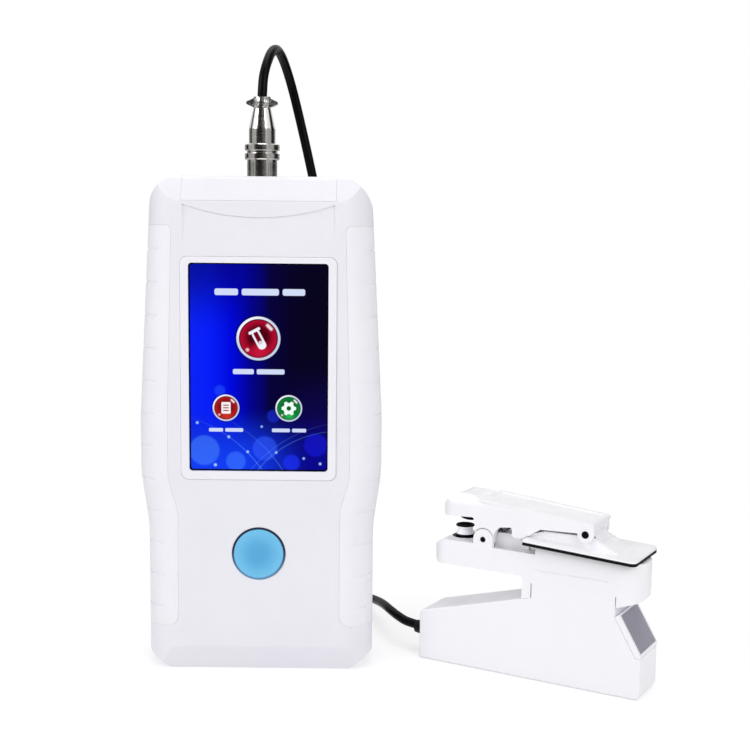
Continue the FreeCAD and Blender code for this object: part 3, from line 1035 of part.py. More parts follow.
def make_upper_arm():
    hub = rod(UPPER_HUB_RADIUS, Vector(JAW_PIN_U, UPPER_LOW_V, JAW_PIN_Z), Y_AXIS, UPPER_HIGH_V - UPPER_LOW_V)
    ear = rod(UPPER_EAR_RADIUS, Vector(LEVER_PIN_U, UPPER_LOW_V, LEVER_PIN_Z), Y_AXIS, UPPER_HIGH_V - UPPER_LOW_V)
    arm = clip_prism(upper_corners(), UPPER_LOW_V, UPPER_HIGH_V).fuse(hub).fuse(ear)
    arm = arm.common(plan_prism(UPPER_NOSE_U, UPPER_END_U, UPPER_LOW_V, UPPER_HIGH_V, UPPER_NOSE_PLAN_RADIUS, 1.5))
    section = [(UPPER_LOW_V, 0, 0), (UPPER_HIGH_V, 0, 0), (UPPER_HIGH_V, UPPER_HUMP_Z, UPPER_SHOULDER_RADIUS),
               (UPPER_LOW_V, UPPER_HUMP_Z, UPPER_SHOULDER_RADIUS)]
    arm = arm.common(prism(section, side_view(0), Vector(FAR, 0, 0)))
    for v0, v1 in ((-1, HUB_V), (CLIP_WIDTH - HUB_V, CLIP_WIDTH + 1)):
        arm = arm.cut(rod(LUG_RADIUS + UPPER_HUB_CLEARANCE, Vector(JAW_PIN_U, v0, JAW_PIN_Z), Y_AXIS, v1 - v0))
        arm = arm.cut(box(20, 35, v0, v1, 0, JAW_PIN_Z))
    under = -UPPER_ROOF - UPPER_COVER_THICKNESS
    front_room = clip_prism([(25.4, 0), (34.4, 0), (34.4, upper_top_z(34.4) + under),
                             (25.4, upper_top_z(27.0) + under)],
                            HUB_V + UPPER_CHEEK, CLIP_WIDTH - HUB_V - UPPER_CHEEK)
    rear_room = clip_prism([(34.4, 0), (FAR, 0), (FAR, upper_top_z(FAR) + under), (34.4, upper_top_z(34.4) + under)],
                           UPPER_LOW_V + UPPER_CHEEK, UPPER_HIGH_V - UPPER_CHEEK)
    arm = arm.cut(front_room).cut(rear_room)
    cheek = UPPER_LOW_V + UPPER_CHEEK
    arm = arm.cut(rod(LEVER_HUB_RADIUS + LEVER_HUB_CLEARANCE, Vector(LEVER_PIN_U, cheek, LEVER_PIN_Z), Y_AXIS,
                      CLIP_WIDTH - 2 * cheek))
    arm = arm.cut(rod(JAW_PIN_RADIUS + PIN_FIT, Vector(JAW_PIN_U, -FAR, JAW_PIN_Z), Y_AXIS, 2 * FAR))
    arm = arm.cut(rod(LEVER_PIN_RADIUS + PIN_FIT, Vector(LEVER_PIN_U, -FAR, LEVER_PIN_Z), Y_AXIS, 2 * FAR))
    low = GASKET_TOP_Z + JAW_FACE_GAP
    pocket = open_from_closed(rod(UPPER_HEAD_RADIUS + FIT, Vector(HEAD_U, CLIP_MIDDLE, low), Z_AXIS,
                                  UPPER_HEAD_TOP_Z - low + FIT))
    arm = arm.cut(pocket)
    export_clip("upper_arm", arm.removeSplitter())

    front, rear = UPPER_TOP_FRONT_U, UPPER_END_U
    thick = UPPER_COVER_THICKNESS
    cover = clip_prism([(front + SEAM, upper_top_z(front) - thick), (rear, upper_top_z(rear) - thick),
                        (rear, upper_top_z(rear), 1.0), (front + SEAM, upper_top_z(front), 0.8)],
                       UPPER_LOW_V, UPPER_HIGH_V)
    dish = clip_prism([(front + 2, upper_top_z(front + 2) - 0.5), (rear - 2, upper_top_z(rear - 2) - 0.5),
                       (rear - 2, FAR), (front + 2, FAR)], UPPER_LOW_V + 2.0, UPPER_HIGH_V - 2.0)
    export_clip("arm_cover", cover.cut(dish))

    centre = Vector(HEAD_U, CLIP_MIDDLE, 0)
    radius, top = UPPER_GASKET_RADIUS, low + UPPER_GASKET_THICKNESS
    gasket = turned([(1.6, low), (radius - 0.4, low), (radius, low + 0.4), (radius, top), (1.6, top)], centre)
    export_clip("upper_gasket", open_from_closed(gasket))
    head = turned([(0, top), (UPPER_HEAD_RADIUS, top), (UPPER_HEAD_RADIUS, UPPER_HEAD_TOP_Z),
                   (0, UPPER_HEAD_TOP_Z)], centre)
    export_clip("sensor_head", open_from_closed(head))


# Pins: the jaw pin through the lugs, and the lever pin through the cheeks
def make_pins():
    length = CLIP_WIDTH + 2 * PIN_PROUD
    pin = rod(JAW_PIN_RADIUS, Vector(JAW_PIN_U, -PIN_PROUD, JAW_PIN_Z), Y_AXIS, length)
    export_clip("jaw_pin", pin.makeChamfer(0.2, [e for e in pin.Edges if len(e.Vertexes) == 1]))
    start = UPPER_LOW_V - PIN_PROUD
    pin = rod(LEVER_PIN_RADIUS, Vector(LEVER_PIN_U, start, LEVER_PIN_Z), Y_AXIS, CLIP_WIDTH - 2 * start)
    export_clip("lever_pin", pin.makeChamfer(0.2, [e for e in pin.Edges if len(e.Vertexes) == 1]))


# Thumb lever: plate with two gussets up to the lever pin, a toe that bears on the lower arm, and a rubber pad
def tilted(shape):
    moved = shape.copy()
    moved.rotate(Vector(LEVER_PIN_U, 0, LEVER_PIN_Z), Y_AXIS, LEVER_TILT)
    return moved


def make_lever():
    top = LEVER_PLATE_TOP_Z
    low = top - LEVER_PLATE_THICKNESS
    v0, v1 = -LEVER_OVERHANG, CLIP_WIDTH + LEVER_OVERHANG
    corners = [(LEVER_LEFT_U, v0, 0.8), (LEVER_RIGHT_U, v0, LEVER_CORNER), (LEVER_RIGHT_U, v1, LEVER_CORNER),
               (LEVER_LEFT_U, v1, 0.8)]
    plate = prism(corners, top_view(low), Vector(0, 0, LEVER_PLATE_THICKNESS))
    pad = prism(corners, top_view(low - LEVER_PAD_THICKNESS), Vector(0, 0, LEVER_PAD_THICKNESS))
    inner = UPPER_LOW_V + UPPER_CHEEK + GUSSET_GAP
    walls = []
    for start in (inner, CLIP_WIDTH - inner - GUSSET_THICKNESS):
        side = clip_prism([(TOE_U - TOE_RADIUS, low), (LEVER_RIGHT_U - GUSSET_END_INSET, low),
                           (LEVER_PIN_U + 3.0, LEVER_PIN_Z - 1.6, 2), (LEVER_PIN_U - 3.0, LEVER_PIN_Z - 1.4),
                           (TOE_U + GUSSET_KNEE_REACH, LEVER_PIN_Z - GUSSET_KNEE_DROP, 2),
                           (TOE_U - TOE_RADIUS, top + 0.9)],
                          start, start + GUSSET_THICKNESS)
        hub = rod(LEVER_HUB_RADIUS, Vector(LEVER_PIN_U, start, LEVER_PIN_Z), Y_AXIS, GUSSET_THICKNESS)
        walls.append(side.fuse(hub))
    web_left, web_right = LEVER_PIN_U + 5, LEVER_RIGHT_U - GUSSET_END_INSET - 0.5
    web = clip_prism([(web_left, low), (web_right, low), (web_right - 1, top + 0.3),
                      (web_left, LEVER_PIN_Z - 3.4)], inner, CLIP_WIDTH - inner)
    slab = tilted(plate.fuse(walls[0]).fuse(walls[1]).fuse(web).removeSplitter())
    toe = rod(TOE_RADIUS, Vector(TOE_U, inner, TOE_Z), Y_AXIS, CLIP_WIDTH - 2 * inner)
    stalk = box(TOE_U - TOE_RADIUS, TOE_U + TOE_RADIUS, inner, CLIP_WIDTH - inner, TOE_Z, top + 0.4)
    lever = slab.fuse(toe).fuse(stalk).removeSplitter()
    lever = lever.cut(rod(LEVER_PIN_RADIUS + PIN_FIT, Vector(LEVER_PIN_U, -FAR, LEVER_PIN_Z), Y_AXIS, 2 * FAR))
    export_clip("thumb_lever", lever)
    room = box(TOE_U - 3, TOE_U + TOE_RADIUS + FIT, inner - FIT, CLIP_WIDTH - inner + FIT, 0, FAR)
    export_clip("lever_pad", tilted(pad).cut(room))


# Torsion spring round the jaw pin, one leg down on the channel floor and one up under the roof
def make_spring():
    height = SPRING_TURNS * SPRING_PITCH
    start_v = CLIP_MIDDLE - height / 2
    radius = JAW_PIN_RADIUS + SPRING_COIL_GAP + SPRING_WIRE_RADIUS
    helix = Part.makeHelix(SPRING_PITCH, height, radius)
    section = Part.Wire(Part.makeCircle(SPRING_WIRE_RADIUS, Vector(radius, 0, 0), Y_AXIS))
    coil = Part.Wire(helix).makePipeShell([section], True, True)
    coil.Placement = FreeCAD.Placement(Vector(JAW_PIN_U, start_v, JAW_PIN_Z), FreeCAD.Rotation(X_AXIS, -90))
    legs = []
    for v, lean in ((start_v, -38.0), (start_v + height, 34.0)):
        leg = rod(SPRING_WIRE_RADIUS, Vector(0, 0, 0), X_AXIS, SPRING_LEG_LENGTH)
        leg.rotate(Vector(0, 0, 0), Y_AXIS, -lean)
        leg.translate(Vector(JAW_PIN_U + radius, v, JAW_PIN_Z))
        legs.append(leg)
    export_clip("jaw_spring", coil.fuse(legs[0]).fuse(legs[1]))


make_grips()
make_top_panel()
make_front_shell()
make_rear_shell()
make_case_screws()
make_screen()
make_button()
make_electronics()
make_socket()
make_plug()
make_cable()
make_housing()
make_lower_arm()
make_upper_arm()
make_pins()
make_lever()
make_spring()
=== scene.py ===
import math
import bpy
import bmesh
from mathutils import Matrix, Vector


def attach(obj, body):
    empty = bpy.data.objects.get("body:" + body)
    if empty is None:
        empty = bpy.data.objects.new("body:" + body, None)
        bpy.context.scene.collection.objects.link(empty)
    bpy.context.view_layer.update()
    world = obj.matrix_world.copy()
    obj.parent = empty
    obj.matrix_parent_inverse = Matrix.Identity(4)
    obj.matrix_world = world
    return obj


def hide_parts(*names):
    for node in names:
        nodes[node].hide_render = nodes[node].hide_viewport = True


# Chlorophyll fluorescence meter: a handheld unit, a leaf clip and the cable between them.
# Lengths are in metres. +Z is up and +Y points away from the user.

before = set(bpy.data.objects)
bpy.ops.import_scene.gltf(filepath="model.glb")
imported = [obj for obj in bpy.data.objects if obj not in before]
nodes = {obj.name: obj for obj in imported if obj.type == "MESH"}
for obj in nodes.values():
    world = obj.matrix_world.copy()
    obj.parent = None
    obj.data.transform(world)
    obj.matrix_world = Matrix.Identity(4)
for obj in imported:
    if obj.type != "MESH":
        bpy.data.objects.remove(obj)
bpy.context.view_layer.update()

# Camera at the photograph's viewing angle
CAMERA_PLACE = (0.04778, -0.5341, 0.18904)
CAMERA_PITCH = 83.0
CAMERA_ROLL = 0.57
CAMERA_LENS = 60.87


def set_camera():
    data = bpy.data.cameras.new("camera")
    data.lens = CAMERA_LENS
    data.sensor_width = 36.0
    data.clip_start = 0.01
    camera = bpy.data.objects.new("camera", data)
    camera.location = CAMERA_PLACE
    pitch = Matrix.Rotation(math.radians(CAMERA_PITCH), 3, "X")
    roll = Matrix.Rotation(math.radians(CAMERA_ROLL), 3, "Z")
    camera.rotation_euler = (pitch @ roll).to_euler()
    bpy.context.scene.collection.objects.link(camera)
    bpy.context.scene.camera = camera


set_camera()

# Cable: from the plug over the unit, down behind it, round the tied coil and on to the clip
CABLE_RADIUS = 0.002
COIL_X = 0.008
COIL_Y = 0.062
COIL_TURNS = 4.5
COIL_STEPS = 16
COIL_START_ANGLE = -90.0
# Radius and height of the coil after so many turns
COIL_RADII = [(2.45, 0.020), (2.85, 0.0242)]
COIL_HEIGHTS = [(0.0, 0.0137), (2.5, 0.0027), (2.85, 0.0027), (3.7, 0.0070), (4.5, 0.0102)]
LEAD_ROUTE = [(0.0, 0.0, 0.2338), (0.0, 0.0, 0.2440), (0.0012, 0.0040, 0.2522),
              (0.0034, 0.0130, 0.2602), (0.0058, 0.0228, 0.2602), (0.0094, 0.0350, 0.2490),
              (0.0138, 0.0372, 0.2310), (0.0186, 0.0380, 0.2100), (0.0229, 0.0388, 0.1890),
              (0.0268, 0.0398, 0.1650), (0.0294, 0.0404, 0.1380), (0.0318, 0.0400, 0.1080),
              (0.0332, 0.0408, 0.0800), (0.0348, 0.0402, 0.0540), (0.0336, 0.0402, 0.0320),
              (0.0220, 0.0414, 0.0158)]
TAIL_ROUTE = [(0.0220, 0.0868, 0.0074), (0.0340, 0.0820, 0.0034), (0.0428, 0.0724, 0.0050),
              (0.0468, 0.0610, 0.0074), (0.0506, 0.0490, 0.0096), (0.0533, 0.0370, 0.0116),
              (0.0558, 0.0262, 0.0126), (0.0594, 0.0186, 0.0120), (0.0640, 0.01411, 0.0105),
              (0.07525, 0.00767, 0.0098)]


def between(value, stops):
    """The height at value along a list of (place, height) stops, in straight steps."""
    if value <= stops[0][0]:
        return stops[0][1]
    for (low, start), (high, end) in zip(stops, stops[1:]):
        if value <= high:
            return start + (end - start) * (value - low) / (high - low)
    return stops[-1][1]


def coil_route():
    """Four and a half neat turns: down the inner column, out under it and up the outer one."""
    spread = 2.0 / (1.0 + math.cos(math.pi / COIL_STEPS))
    route = []
    for step in range(int(COIL_TURNS * COIL_STEPS) + 1):
        turn = step / COIL_STEPS
        angle = math.radians(COIL_START_ANGLE - 360.0 * turn)
        radius = between(turn, COIL_RADII) * spread
        x = COIL_X + radius * math.cos(angle)
        y = COIL_Y + radius * math.sin(angle)
        route.append((x, y, between(turn, COIL_HEIGHTS)))
    return route


def make_cable():
    route = LEAD_ROUTE + coil_route() + TAIL_ROUTE
    data = bpy.data.curves.new("cable", "CURVE")
    data.dimensions = "3D"
    data.bevel_depth = 1.0
    data.bevel_resolution = 6
    data.resolution_u = 6
    data.use_fill_caps = True
    spline = data.splines.new("NURBS")
    spline.points.add(len(route) - 1)
    for point, place in zip(spline.points, route):
        point.co = (place[0], place[1], place[2], 1.0)
        point.radius = CABLE_RADIUS
    spline.order_u = 3
    spline.use_endpoint_u = True
    spline.use_smooth = True
    cable = bpy.data.objects.new("cable", data)
    bpy.context.scene.collection.objects.link(cable)
    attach(cable, "unit_and_base")
    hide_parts("cable_lead", "cable_coil", "cable_tail")
    return cable


cable = make_cable()

# Shader helpers
NO_LIGHT = (0.0, 0.0, 0.0, 1.0)
FULL_LIGHT = (1.0, 1.0, 1.0, 1.0)


def srgb(red, green, blue):
    """A colour as a screen shows it, 0 to 255, in the linear values that shaders take."""
    parts = []
    for level in (red / 255.0, green / 255.0, blue / 255.0):
        parts.append(level / 12.92 if level <= 0.04045 else ((level + 0.055) / 1.055) ** 2.4)
    return (parts[0], parts[1], parts[2], 1.0)


def feed(tree, socket, value):
    if isinstance(value, bpy.types.NodeSocket):
        tree.links.new(value, socket)
    else:
        socket.default_value = value


def add(tree, kind, inputs=None, **settings):
    made = tree.nodes.new(kind)
    for name, value in settings.items():
        setattr(made, name, value)
    for name, value in (inputs or {}).items():
        feed(tree, made.inputs[name], value)
    return made


def calc(tree, operation, first, second=0.0, third=0.0):
    return add(tree, "ShaderNodeMath", {0: first, 1: second, 2: third}, operation=operation).outputs[0]


def vector_calc(tree, operation, first, second=(0.0, 0.0, 0.0)):
    """The vector that an operation gives, or the number where it measures."""
    made = add(tree, "ShaderNodeVectorMath", {0: first, 1: second}, operation=operation)
    measures = operation in ("DISTANCE", "LENGTH", "DOT_PRODUCT")
    return made.outputs["Value" if measures else "Vector"]


def axis_of(tree, vector, axis):
    return add(tree, "ShaderNodeSeparateXYZ", {"Vector": vector}).outputs[axis]


def ramp(tree, value, low, high, start=0.0, end=1.0, smooth=False):
    kind = "SMOOTHSTEP" if smooth else "LINEAR"
    limits = {"Value": value, "From Min": low, "From Max": high, "To Min": start, "To Max": end}
    return add(tree, "ShaderNodeMapRange", limits, interpolation_type=kind, clamp=True).outputs["Result"]


def blend_colour(tree, first, second, share):
    made = add(tree, "ShaderNodeMix", data_type="RGBA")
    feed(tree, made.inputs["Factor"], share)
    feed(tree, made.inputs["A"], first)
    feed(tree, made.inputs["B"], second)
    return made.outputs["Result"]


def object_place(tree):
    return add(tree, "ShaderNodeTexCoord").outputs["Object"]


def stretched(tree, place, scale, turn=(0.0, 0.0, 0.0)):
    made = add(tree, "ShaderNodeMapping", {"Vector": place, "Rotation": turn, "Scale": scale})
    return made.outputs["Vector"]


def scale_for(tree, size, share=1.0):
    """The texture scale that gives features of a size."""
    return calc(tree, "DIVIDE", share, size)


def noise(tree, place, scale, detail, roughness=0.5):
    inputs = {"Vector": place, "Scale": scale, "Detail": detail, "Roughness": roughness}
    return add(tree, "ShaderNodeTexNoise", inputs).outputs["Fac"]


def new_group(name, inputs, outputs):
    tree = bpy.data.node_groups.new(name, "ShaderNodeTree")
    for socket_name, value in inputs:
        socket = tree.interface.new_socket(socket_name, in_out="INPUT", socket_type="NodeSocketFloat")
        socket.default_value = value
    for socket_name in outputs:
        tree.interface.new_socket(socket_name, in_out="OUTPUT", socket_type="NodeSocketFloat")
    entry = tree.nodes.new("NodeGroupInput")
    leave = tree.nodes.new("NodeGroupOutput")
    return tree, entry.outputs, leave.inputs


def place_group(tree, group, **inputs):
    made = tree.nodes.new("ShaderNodeGroup")
    made.node_tree = group
    for name, value in inputs.items():
        feed(tree, made.inputs[name], value)
    return made.outputs


# Effects that several finishes share
HAIRLINE_LEANINGS = [((0.2, 0.5, 0.3), (1.0, 40.0, 40.0)), ((0.1, -0.9, 1.1), (1.0, 55.0, 55.0))]


def make_moulded_grain():
    """Fine eroded grain of a mould, and slow tone changes over the wall."""
    inputs = [("Size", 0.0005), ("Mottle", 0.02)]
    tree, given, result = new_group("moulded_grain", inputs, ["Height", "Tone"])
    place = object_place(tree)
    fine = noise(tree, place, scale_for(tree, given["Size"]), 2.0, 0.6)
    coarse = scale_for(tree, given["Size"], 0.7)
    cells = add(tree, "ShaderNodeTexVoronoi", {"Vector": place, "Scale": coarse}).outputs["Distance"]
    slow = noise(tree, place, scale_for(tree, given["Mottle"]), 3.0, 0.55)
    feed(tree, result["Height"], calc(tree, "MULTIPLY_ADD", cells, 0.5, fine))
    feed(tree, result["Tone"], ramp(tree, slow, 0.3, 0.7))
    return tree


def make_settled_dust():
    """Thin dust in patches on the faces that look up."""
    tree, given, result = new_group("settled_dust", [("Amount", 0.3), ("Patch", 0.012)], ["Mask"])
    up = axis_of(tree, add(tree, "ShaderNodeNewGeometry").outputs["Normal"], "Z")
    patches = noise(tree, object_place(tree), scale_for(tree, given["Patch"]), 5.0, 0.7)
    cover = calc(tree, "MULTIPLY", ramp(tree, up, 0.3, 1.0), ramp(tree, patches, 0.4, 0.75))
    feed(tree, result["Mask"], calc(tree, "MULTIPLY", cover, given["Amount"]))
    return tree


def make_fine_scratches():
    """Thin hairlines from handling, in two leanings."""
    tree, given, result = new_group("fine_scratches", [("Length", 0.012), ("Amount", 0.5)], ["Mask"])
    place = object_place(tree)
    lines = []
    for turn, scale in HAIRLINE_LEANINGS:
        streaks = noise(tree, stretched(tree, place, scale, turn), scale_for(tree, given["Length"]), 1.0)
        lines.append(ramp(tree, streaks, 0.68, 0.76))
    both = calc(tree, "MAXIMUM", lines[0], lines[1])
    feed(tree, result["Mask"], calc(tree, "MULTIPLY", both, given["Amount"]))
    return tree


def make_turned_rings():
    """Fine tool rings round an upright axis, as a lathe leaves them."""
    tree, given, result = new_group("turned_rings", [("Pitch", 0.00025)], ["Height", "Tone"])
    place = stretched(tree, object_place(tree), (0.02, 0.02, 1.0))
    rings = noise(tree, place, scale_for(tree, given["Pitch"]), 2.0)
    feed(tree, result["Height"], rings)
    feed(tree, result["Tone"], ramp(tree, rings, 0.35, 0.65))
    return tree


def make_foam_pores():
    """Open pores of foam or the dimples of soft rubber."""
    tree, given, result = new_group("foam_pores", [("Pore", 0.0004)], ["Height", "Pit"])
    inputs = {"Vector": object_place(tree), "Scale": scale_for(tree, given["Pore"]), "Randomness": 1.0}
    cells = add(tree, "ShaderNodeTexVoronoi", inputs).outputs["Distance"]
    feed(tree, result["Height"], cells)
    feed(tree, result["Pit"], ramp(tree, cells, 0.05, 0.35, 1.0, 0.0))
    return tree


def make_edge_wear_and_highlight():
    """Corners rubbed by handling, in uneven stretches; on white plastics the same mask also places a
    painted highlight.
    """
    tree, given, result = new_group("edge_wear_and_highlight", [("Radius", 0.0005), ("Amount", 0.5)], ["Mask"])
    rounded = add(tree, "ShaderNodeBevel", {"Radius": given["Radius"]}, samples=4).outputs["Normal"]
    normal = add(tree, "ShaderNodeNewGeometry").outputs["Normal"]
    corner = ramp(tree, vector_calc(tree, "DOT_PRODUCT", rounded, normal), 0.99, 0.85)
    stretches = noise(tree, object_place(tree), 180.0, 3.0)
    worn_edge_and_highlight = calc(tree, "MULTIPLY", corner, ramp(tree, stretches, 0.3, 0.6, 0.4))
    feed(tree, result["Mask"], calc(tree, "MULTIPLY", worn_edge_and_highlight, given["Amount"]))
    return tree


MOULDED_GRAIN = make_moulded_grain()
SETTLED_DUST = make_settled_dust()
FINE_SCRATCHES = make_fine_scratches()
TURNED_RINGS = make_turned_rings()
FOAM_PORES = make_foam_pores()
EDGE_WEAR_AND_HIGHLIGHT = make_edge_wear_and_highlight()

# Finishes
# Painted highlight: white plastics are lightened along their edges and corners
CASE_EDGE_HIGHLIGHT = srgb(253, 252, 254)
CASE_DUST = srgb(205, 203, 200)
METAL_RUBBED = (0.86, 0.84, 0.80, 1.0)
METAL_RING_DEPTH = 0.000004
RUBBER_RUBBED = srgb(62, 60, 62)
RUBBER_DUST = srgb(120, 118, 116)
COATED_GLASS_IOR = 1.07
GUIDE_WINDOW_Z = 0.0586
BUTTON_MIDDLE = (0.0, -0.018, 0.0501)
BUTTON_RADIUS = 0.0103


def new_finish(name):
    material = bpy.data.materials.new(name)
    material.use_nodes = True
    return material, material.node_tree, material.node_tree.nodes["Principled BSDF"]


def bumped(tree, shader, height, depth):
    bump = add(tree, "ShaderNodeBump", {"Height": height, "Distance": depth, "Strength": 1.0})
    feed(tree, shader.inputs["Normal"], bump.outputs["Normal"])


def moulded_plastic(name, colour, shade, roughness, grain=0.0005, depth=0.00002, dust=0.25,
                    worn_edge_and_highlight=CASE_EDGE_HIGHLIGHT):
    """Moulded wall: slow tone changes, fine grain, rubbed corners, dust on top and hairlines; unless a
    worn colour is given, the corners take a painted highlight.
    """
    material, tree, shader = new_finish(name)
    wall = place_group(tree, MOULDED_GRAIN, Size=grain, Mottle=0.03)
    body = blend_colour(tree, colour, shade, wall["Tone"])
    corner = place_group(tree, EDGE_WEAR_AND_HIGHLIGHT, Amount=0.7)["Mask"]
    # Corners take the given colour: by default a painted highlight that lightens white plastic, otherwise
    # the worn colour of the finish
    body = blend_colour(tree, body, worn_edge_and_highlight, corner)
    settled = place_group(tree, SETTLED_DUST, Amount=dust)["Mask"]
    feed(tree, shader.inputs["Base Color"], blend_colour(tree, body, CASE_DUST, settled))
    lines = place_group(tree, FINE_SCRATCHES, Amount=0.12)["Mask"]
    rough = calc(tree, "MULTIPLY_ADD", wall["Tone"], 0.05, roughness)
    rough = calc(tree, "MULTIPLY_ADD", corner, -0.14, rough)
    feed(tree, shader.inputs["Roughness"], calc(tree, "ADD", rough, lines))
    bumped(tree, shader, wall["Height"], depth)
    return material


def plated_metal(name, colour, shade, roughness, dents=0.0, worn_edge_and_highlight=METAL_RUBBED):
    """Turned and plated metal, with faint rings and handling marks, and dents where it is stamped."""
    material, tree, shader = new_finish(name)
    shader.inputs["Metallic"].default_value = 1.0
    turned = place_group(tree, TURNED_RINGS)
    wall = place_group(tree, MOULDED_GRAIN, Size=0.0012, Mottle=0.006)
    body = blend_colour(tree, colour, shade, wall["Tone"])
    corner = place_group(tree, EDGE_WEAR_AND_HIGHLIGHT, Radius=0.0003, Amount=0.6)["Mask"]
    feed(tree, shader.inputs["Base Color"], blend_colour(tree, body, worn_edge_and_highlight, corner))
    lines = place_group(tree, FINE_SCRATCHES, Amount=0.12, Length=0.004)["Mask"]
    rough = calc(tree, "MULTIPLY_ADD", turned["Tone"], 0.06, roughness)
    feed(tree, shader.inputs["Roughness"], calc(tree, "ADD", rough, lines))
    if dents:
        bumped(tree, shader, place_group(tree, MOULDED_GRAIN, Size=dents)["Height"], dents * 0.3)
    else:
        bumped(tree, shader, turned["Height"], METAL_RING_DEPTH)
    return material


def soft_rubber(name, colour, shade, roughness, pore, depth, dust, shine):
    """Matt rubber or foam, darker in its pores, greyed by dust on top."""
    material, tree, shader = new_finish(name)
    pores = place_group(tree, FOAM_PORES, Pore=pore)
    body = blend_colour(tree, colour, shade, pores["Pit"])
    body = blend_colour(tree, body, RUBBER_RUBBED, place_group(tree, EDGE_WEAR_AND_HIGHLIGHT, Amount=0.35)["Mask"])
    body = blend_colour(tree, body, RUBBER_DUST, place_group(tree, SETTLED_DUST, Amount=dust)["Mask"])
    shader.inputs["Specular IOR Level"].default_value = shine
    feed(tree, shader.inputs["Base Color"], body)
    feed(tree, shader.inputs["Roughness"], calc(tree, "MULTIPLY_ADD", pores["Pit"], 0.1, roughness))
    bumped(tree, shader, pores["Height"], depth)
    return material


def clear_glass():
    """Cover glass with a low reflection coating and a few hairlines."""
    material, tree, shader = new_finish("cover_glass")
    shader.inputs["Transmission Weight"].default_value = 1.0
    shader.inputs["IOR"].default_value = COATED_GLASS_IOR
    lines = place_group(tree, FINE_SCRATCHES, Amount=0.03, Length=0.01)["Mask"]
    wipe = place_group(tree, MOULDED_GRAIN, Mottle=0.018)["Tone"]
    feed(tree, shader.inputs["Roughness"], calc(tree, "MULTIPLY_ADD", wipe, 0.01, lines))
    tint = blend_colour(tree, srgb(255, 255, 255), srgb(248, 250, 252), wipe)
    feed(tree, shader.inputs["Base Color"], tint)
    return material


def frosted_guide():
    """Frosted clear plastic that carries the measuring light, under a dark filter window; its faint grey
    glow below the window is painted light.
    """
    material, tree, shader = new_finish("light_guide")
    wall = place_group(tree, MOULDED_GRAIN, Size=0.0003, Mottle=0.004)
    height = axis_of(tree, object_place(tree), "Z")
    window = ramp(tree, height, GUIDE_WINDOW_Z - 0.00008, GUIDE_WINDOW_Z - 0.00004)
    body = blend_colour(tree, srgb(250, 250, 253), srgb(240, 241, 247), wall["Tone"])
    feed(tree, shader.inputs["Base Color"], blend_colour(tree, body, srgb(30, 12, 20), window))
    feed(tree, shader.inputs["Roughness"], calc(tree, "MULTIPLY_ADD", wall["Tone"], 0.1, 0.18))
    # Painted glow: the frosted part below the window gives off a faint grey light
    glow = blend_colour(tree, srgb(110, 111, 116), NO_LIGHT, window)
    feed(tree, shader.inputs["Emission Color"], glow)
    shader.inputs["Emission Strength"].default_value = 1.0
    bumped(tree, shader, wall["Height"], 0.00001)
    return material


def dished_button():
    """Blue cap, a little paler towards its rim as a painted highlight."""
    material, tree, shader = new_finish("button_blue")
    wall = place_group(tree, MOULDED_GRAIN, Size=0.0004, Mottle=0.02)
    away = vector_calc(tree, "DISTANCE", object_place(tree), BUTTON_MIDDLE)
    # Painted highlight: the cap turns paler towards its rim
    rim = ramp(tree, away, BUTTON_RADIUS * 0.2, BUTTON_RADIUS, smooth=True)
    body = blend_colour(tree, srgb(84, 173, 223), srgb(81, 169, 220), wall["Tone"])
    feed(tree, shader.inputs["Base Color"], blend_colour(tree, body, srgb(112, 196, 240), rim))
    feed(tree, shader.inputs["Roughness"], calc(tree, "MULTIPLY_ADD", wall["Tone"], 0.05, 0.32))
    bumped(tree, shader, wall["Height"], 0.00001)
    return material


def trim_ring():
    """Lacquered ring, navy at its top and pale at its foot, where the paleness is a painted reflection."""
    material, tree, shader = new_finish("trim_navy")
    wall = place_group(tree, MOULDED_GRAIN, Size=0.0004, Mottle=0.01)
    height = axis_of(tree, object_place(tree), "Z")
    fade_from = BUTTON_MIDDLE[2] + BUTTON_RADIUS * 0.3
    # Painted reflection: the ring turns pale towards its foot
    painted_reflection = ramp(tree, height, fade_from, BUTTON_MIDDLE[2] - BUTTON_RADIUS, smooth=True)
    body = blend_colour(tree, srgb(22, 34, 70), srgb(16, 26, 58), wall["Tone"])
    feed(tree, shader.inputs["Base Color"], blend_colour(tree, body, srgb(104, 150, 190), painted_reflection))
    feed(tree, shader.inputs["Roughness"], calc(tree, "MULTIPLY_ADD", wall["Tone"], 0.05, 0.3))
    return material


# Picture on the display, in millimetres across (x) and up (z) on its face
SCREEN_MIDDLE = (0.0, 128.0)
BACKDROP_BANDS = [(0.0, srgb(13, 36, 242)), (0.14, srgb(8, 30, 246)), (0.30, srgb(1, 9, 220)),
                  (0.44, srgb(4, 4, 140)), (0.58, srgb(8, 4, 58)), (0.75, srgb(8, 4, 34)),
                  (1.0, srgb(8, 5, 28))]
# Soft discs: centre, radius, colour and share
SOFT_DISCS = [((-22.5, 93.5), 6.2, srgb(70, 130, 255), 0.45), ((-9.5, 89.0), 4.0, srgb(60, 120, 255), 0.5),
              ((2.5, 94.5), 5.0, srgb(50, 90, 255), 0.5), ((13.5, 88.5), 3.4, srgb(30, 50, 250), 0.6),
              ((23.5, 96.0), 4.8, srgb(22, 24, 210), 0.6), ((-16.0, 118.5), 2.2, srgb(40, 90, 255), 0.35),
              ((6.0, 108.0), 2.6, srgb(30, 50, 235), 0.4)]
# Sweeping lines: centre, radius and share
SWEEPS = [((-46.0, 52.0), 58.0, 0.5), ((-44.0, 50.0), 64.5, 0.35), ((34.0, 58.0), 44.0, 0.4),
          ((40.0, 50.0), 56.0, 0.25)]
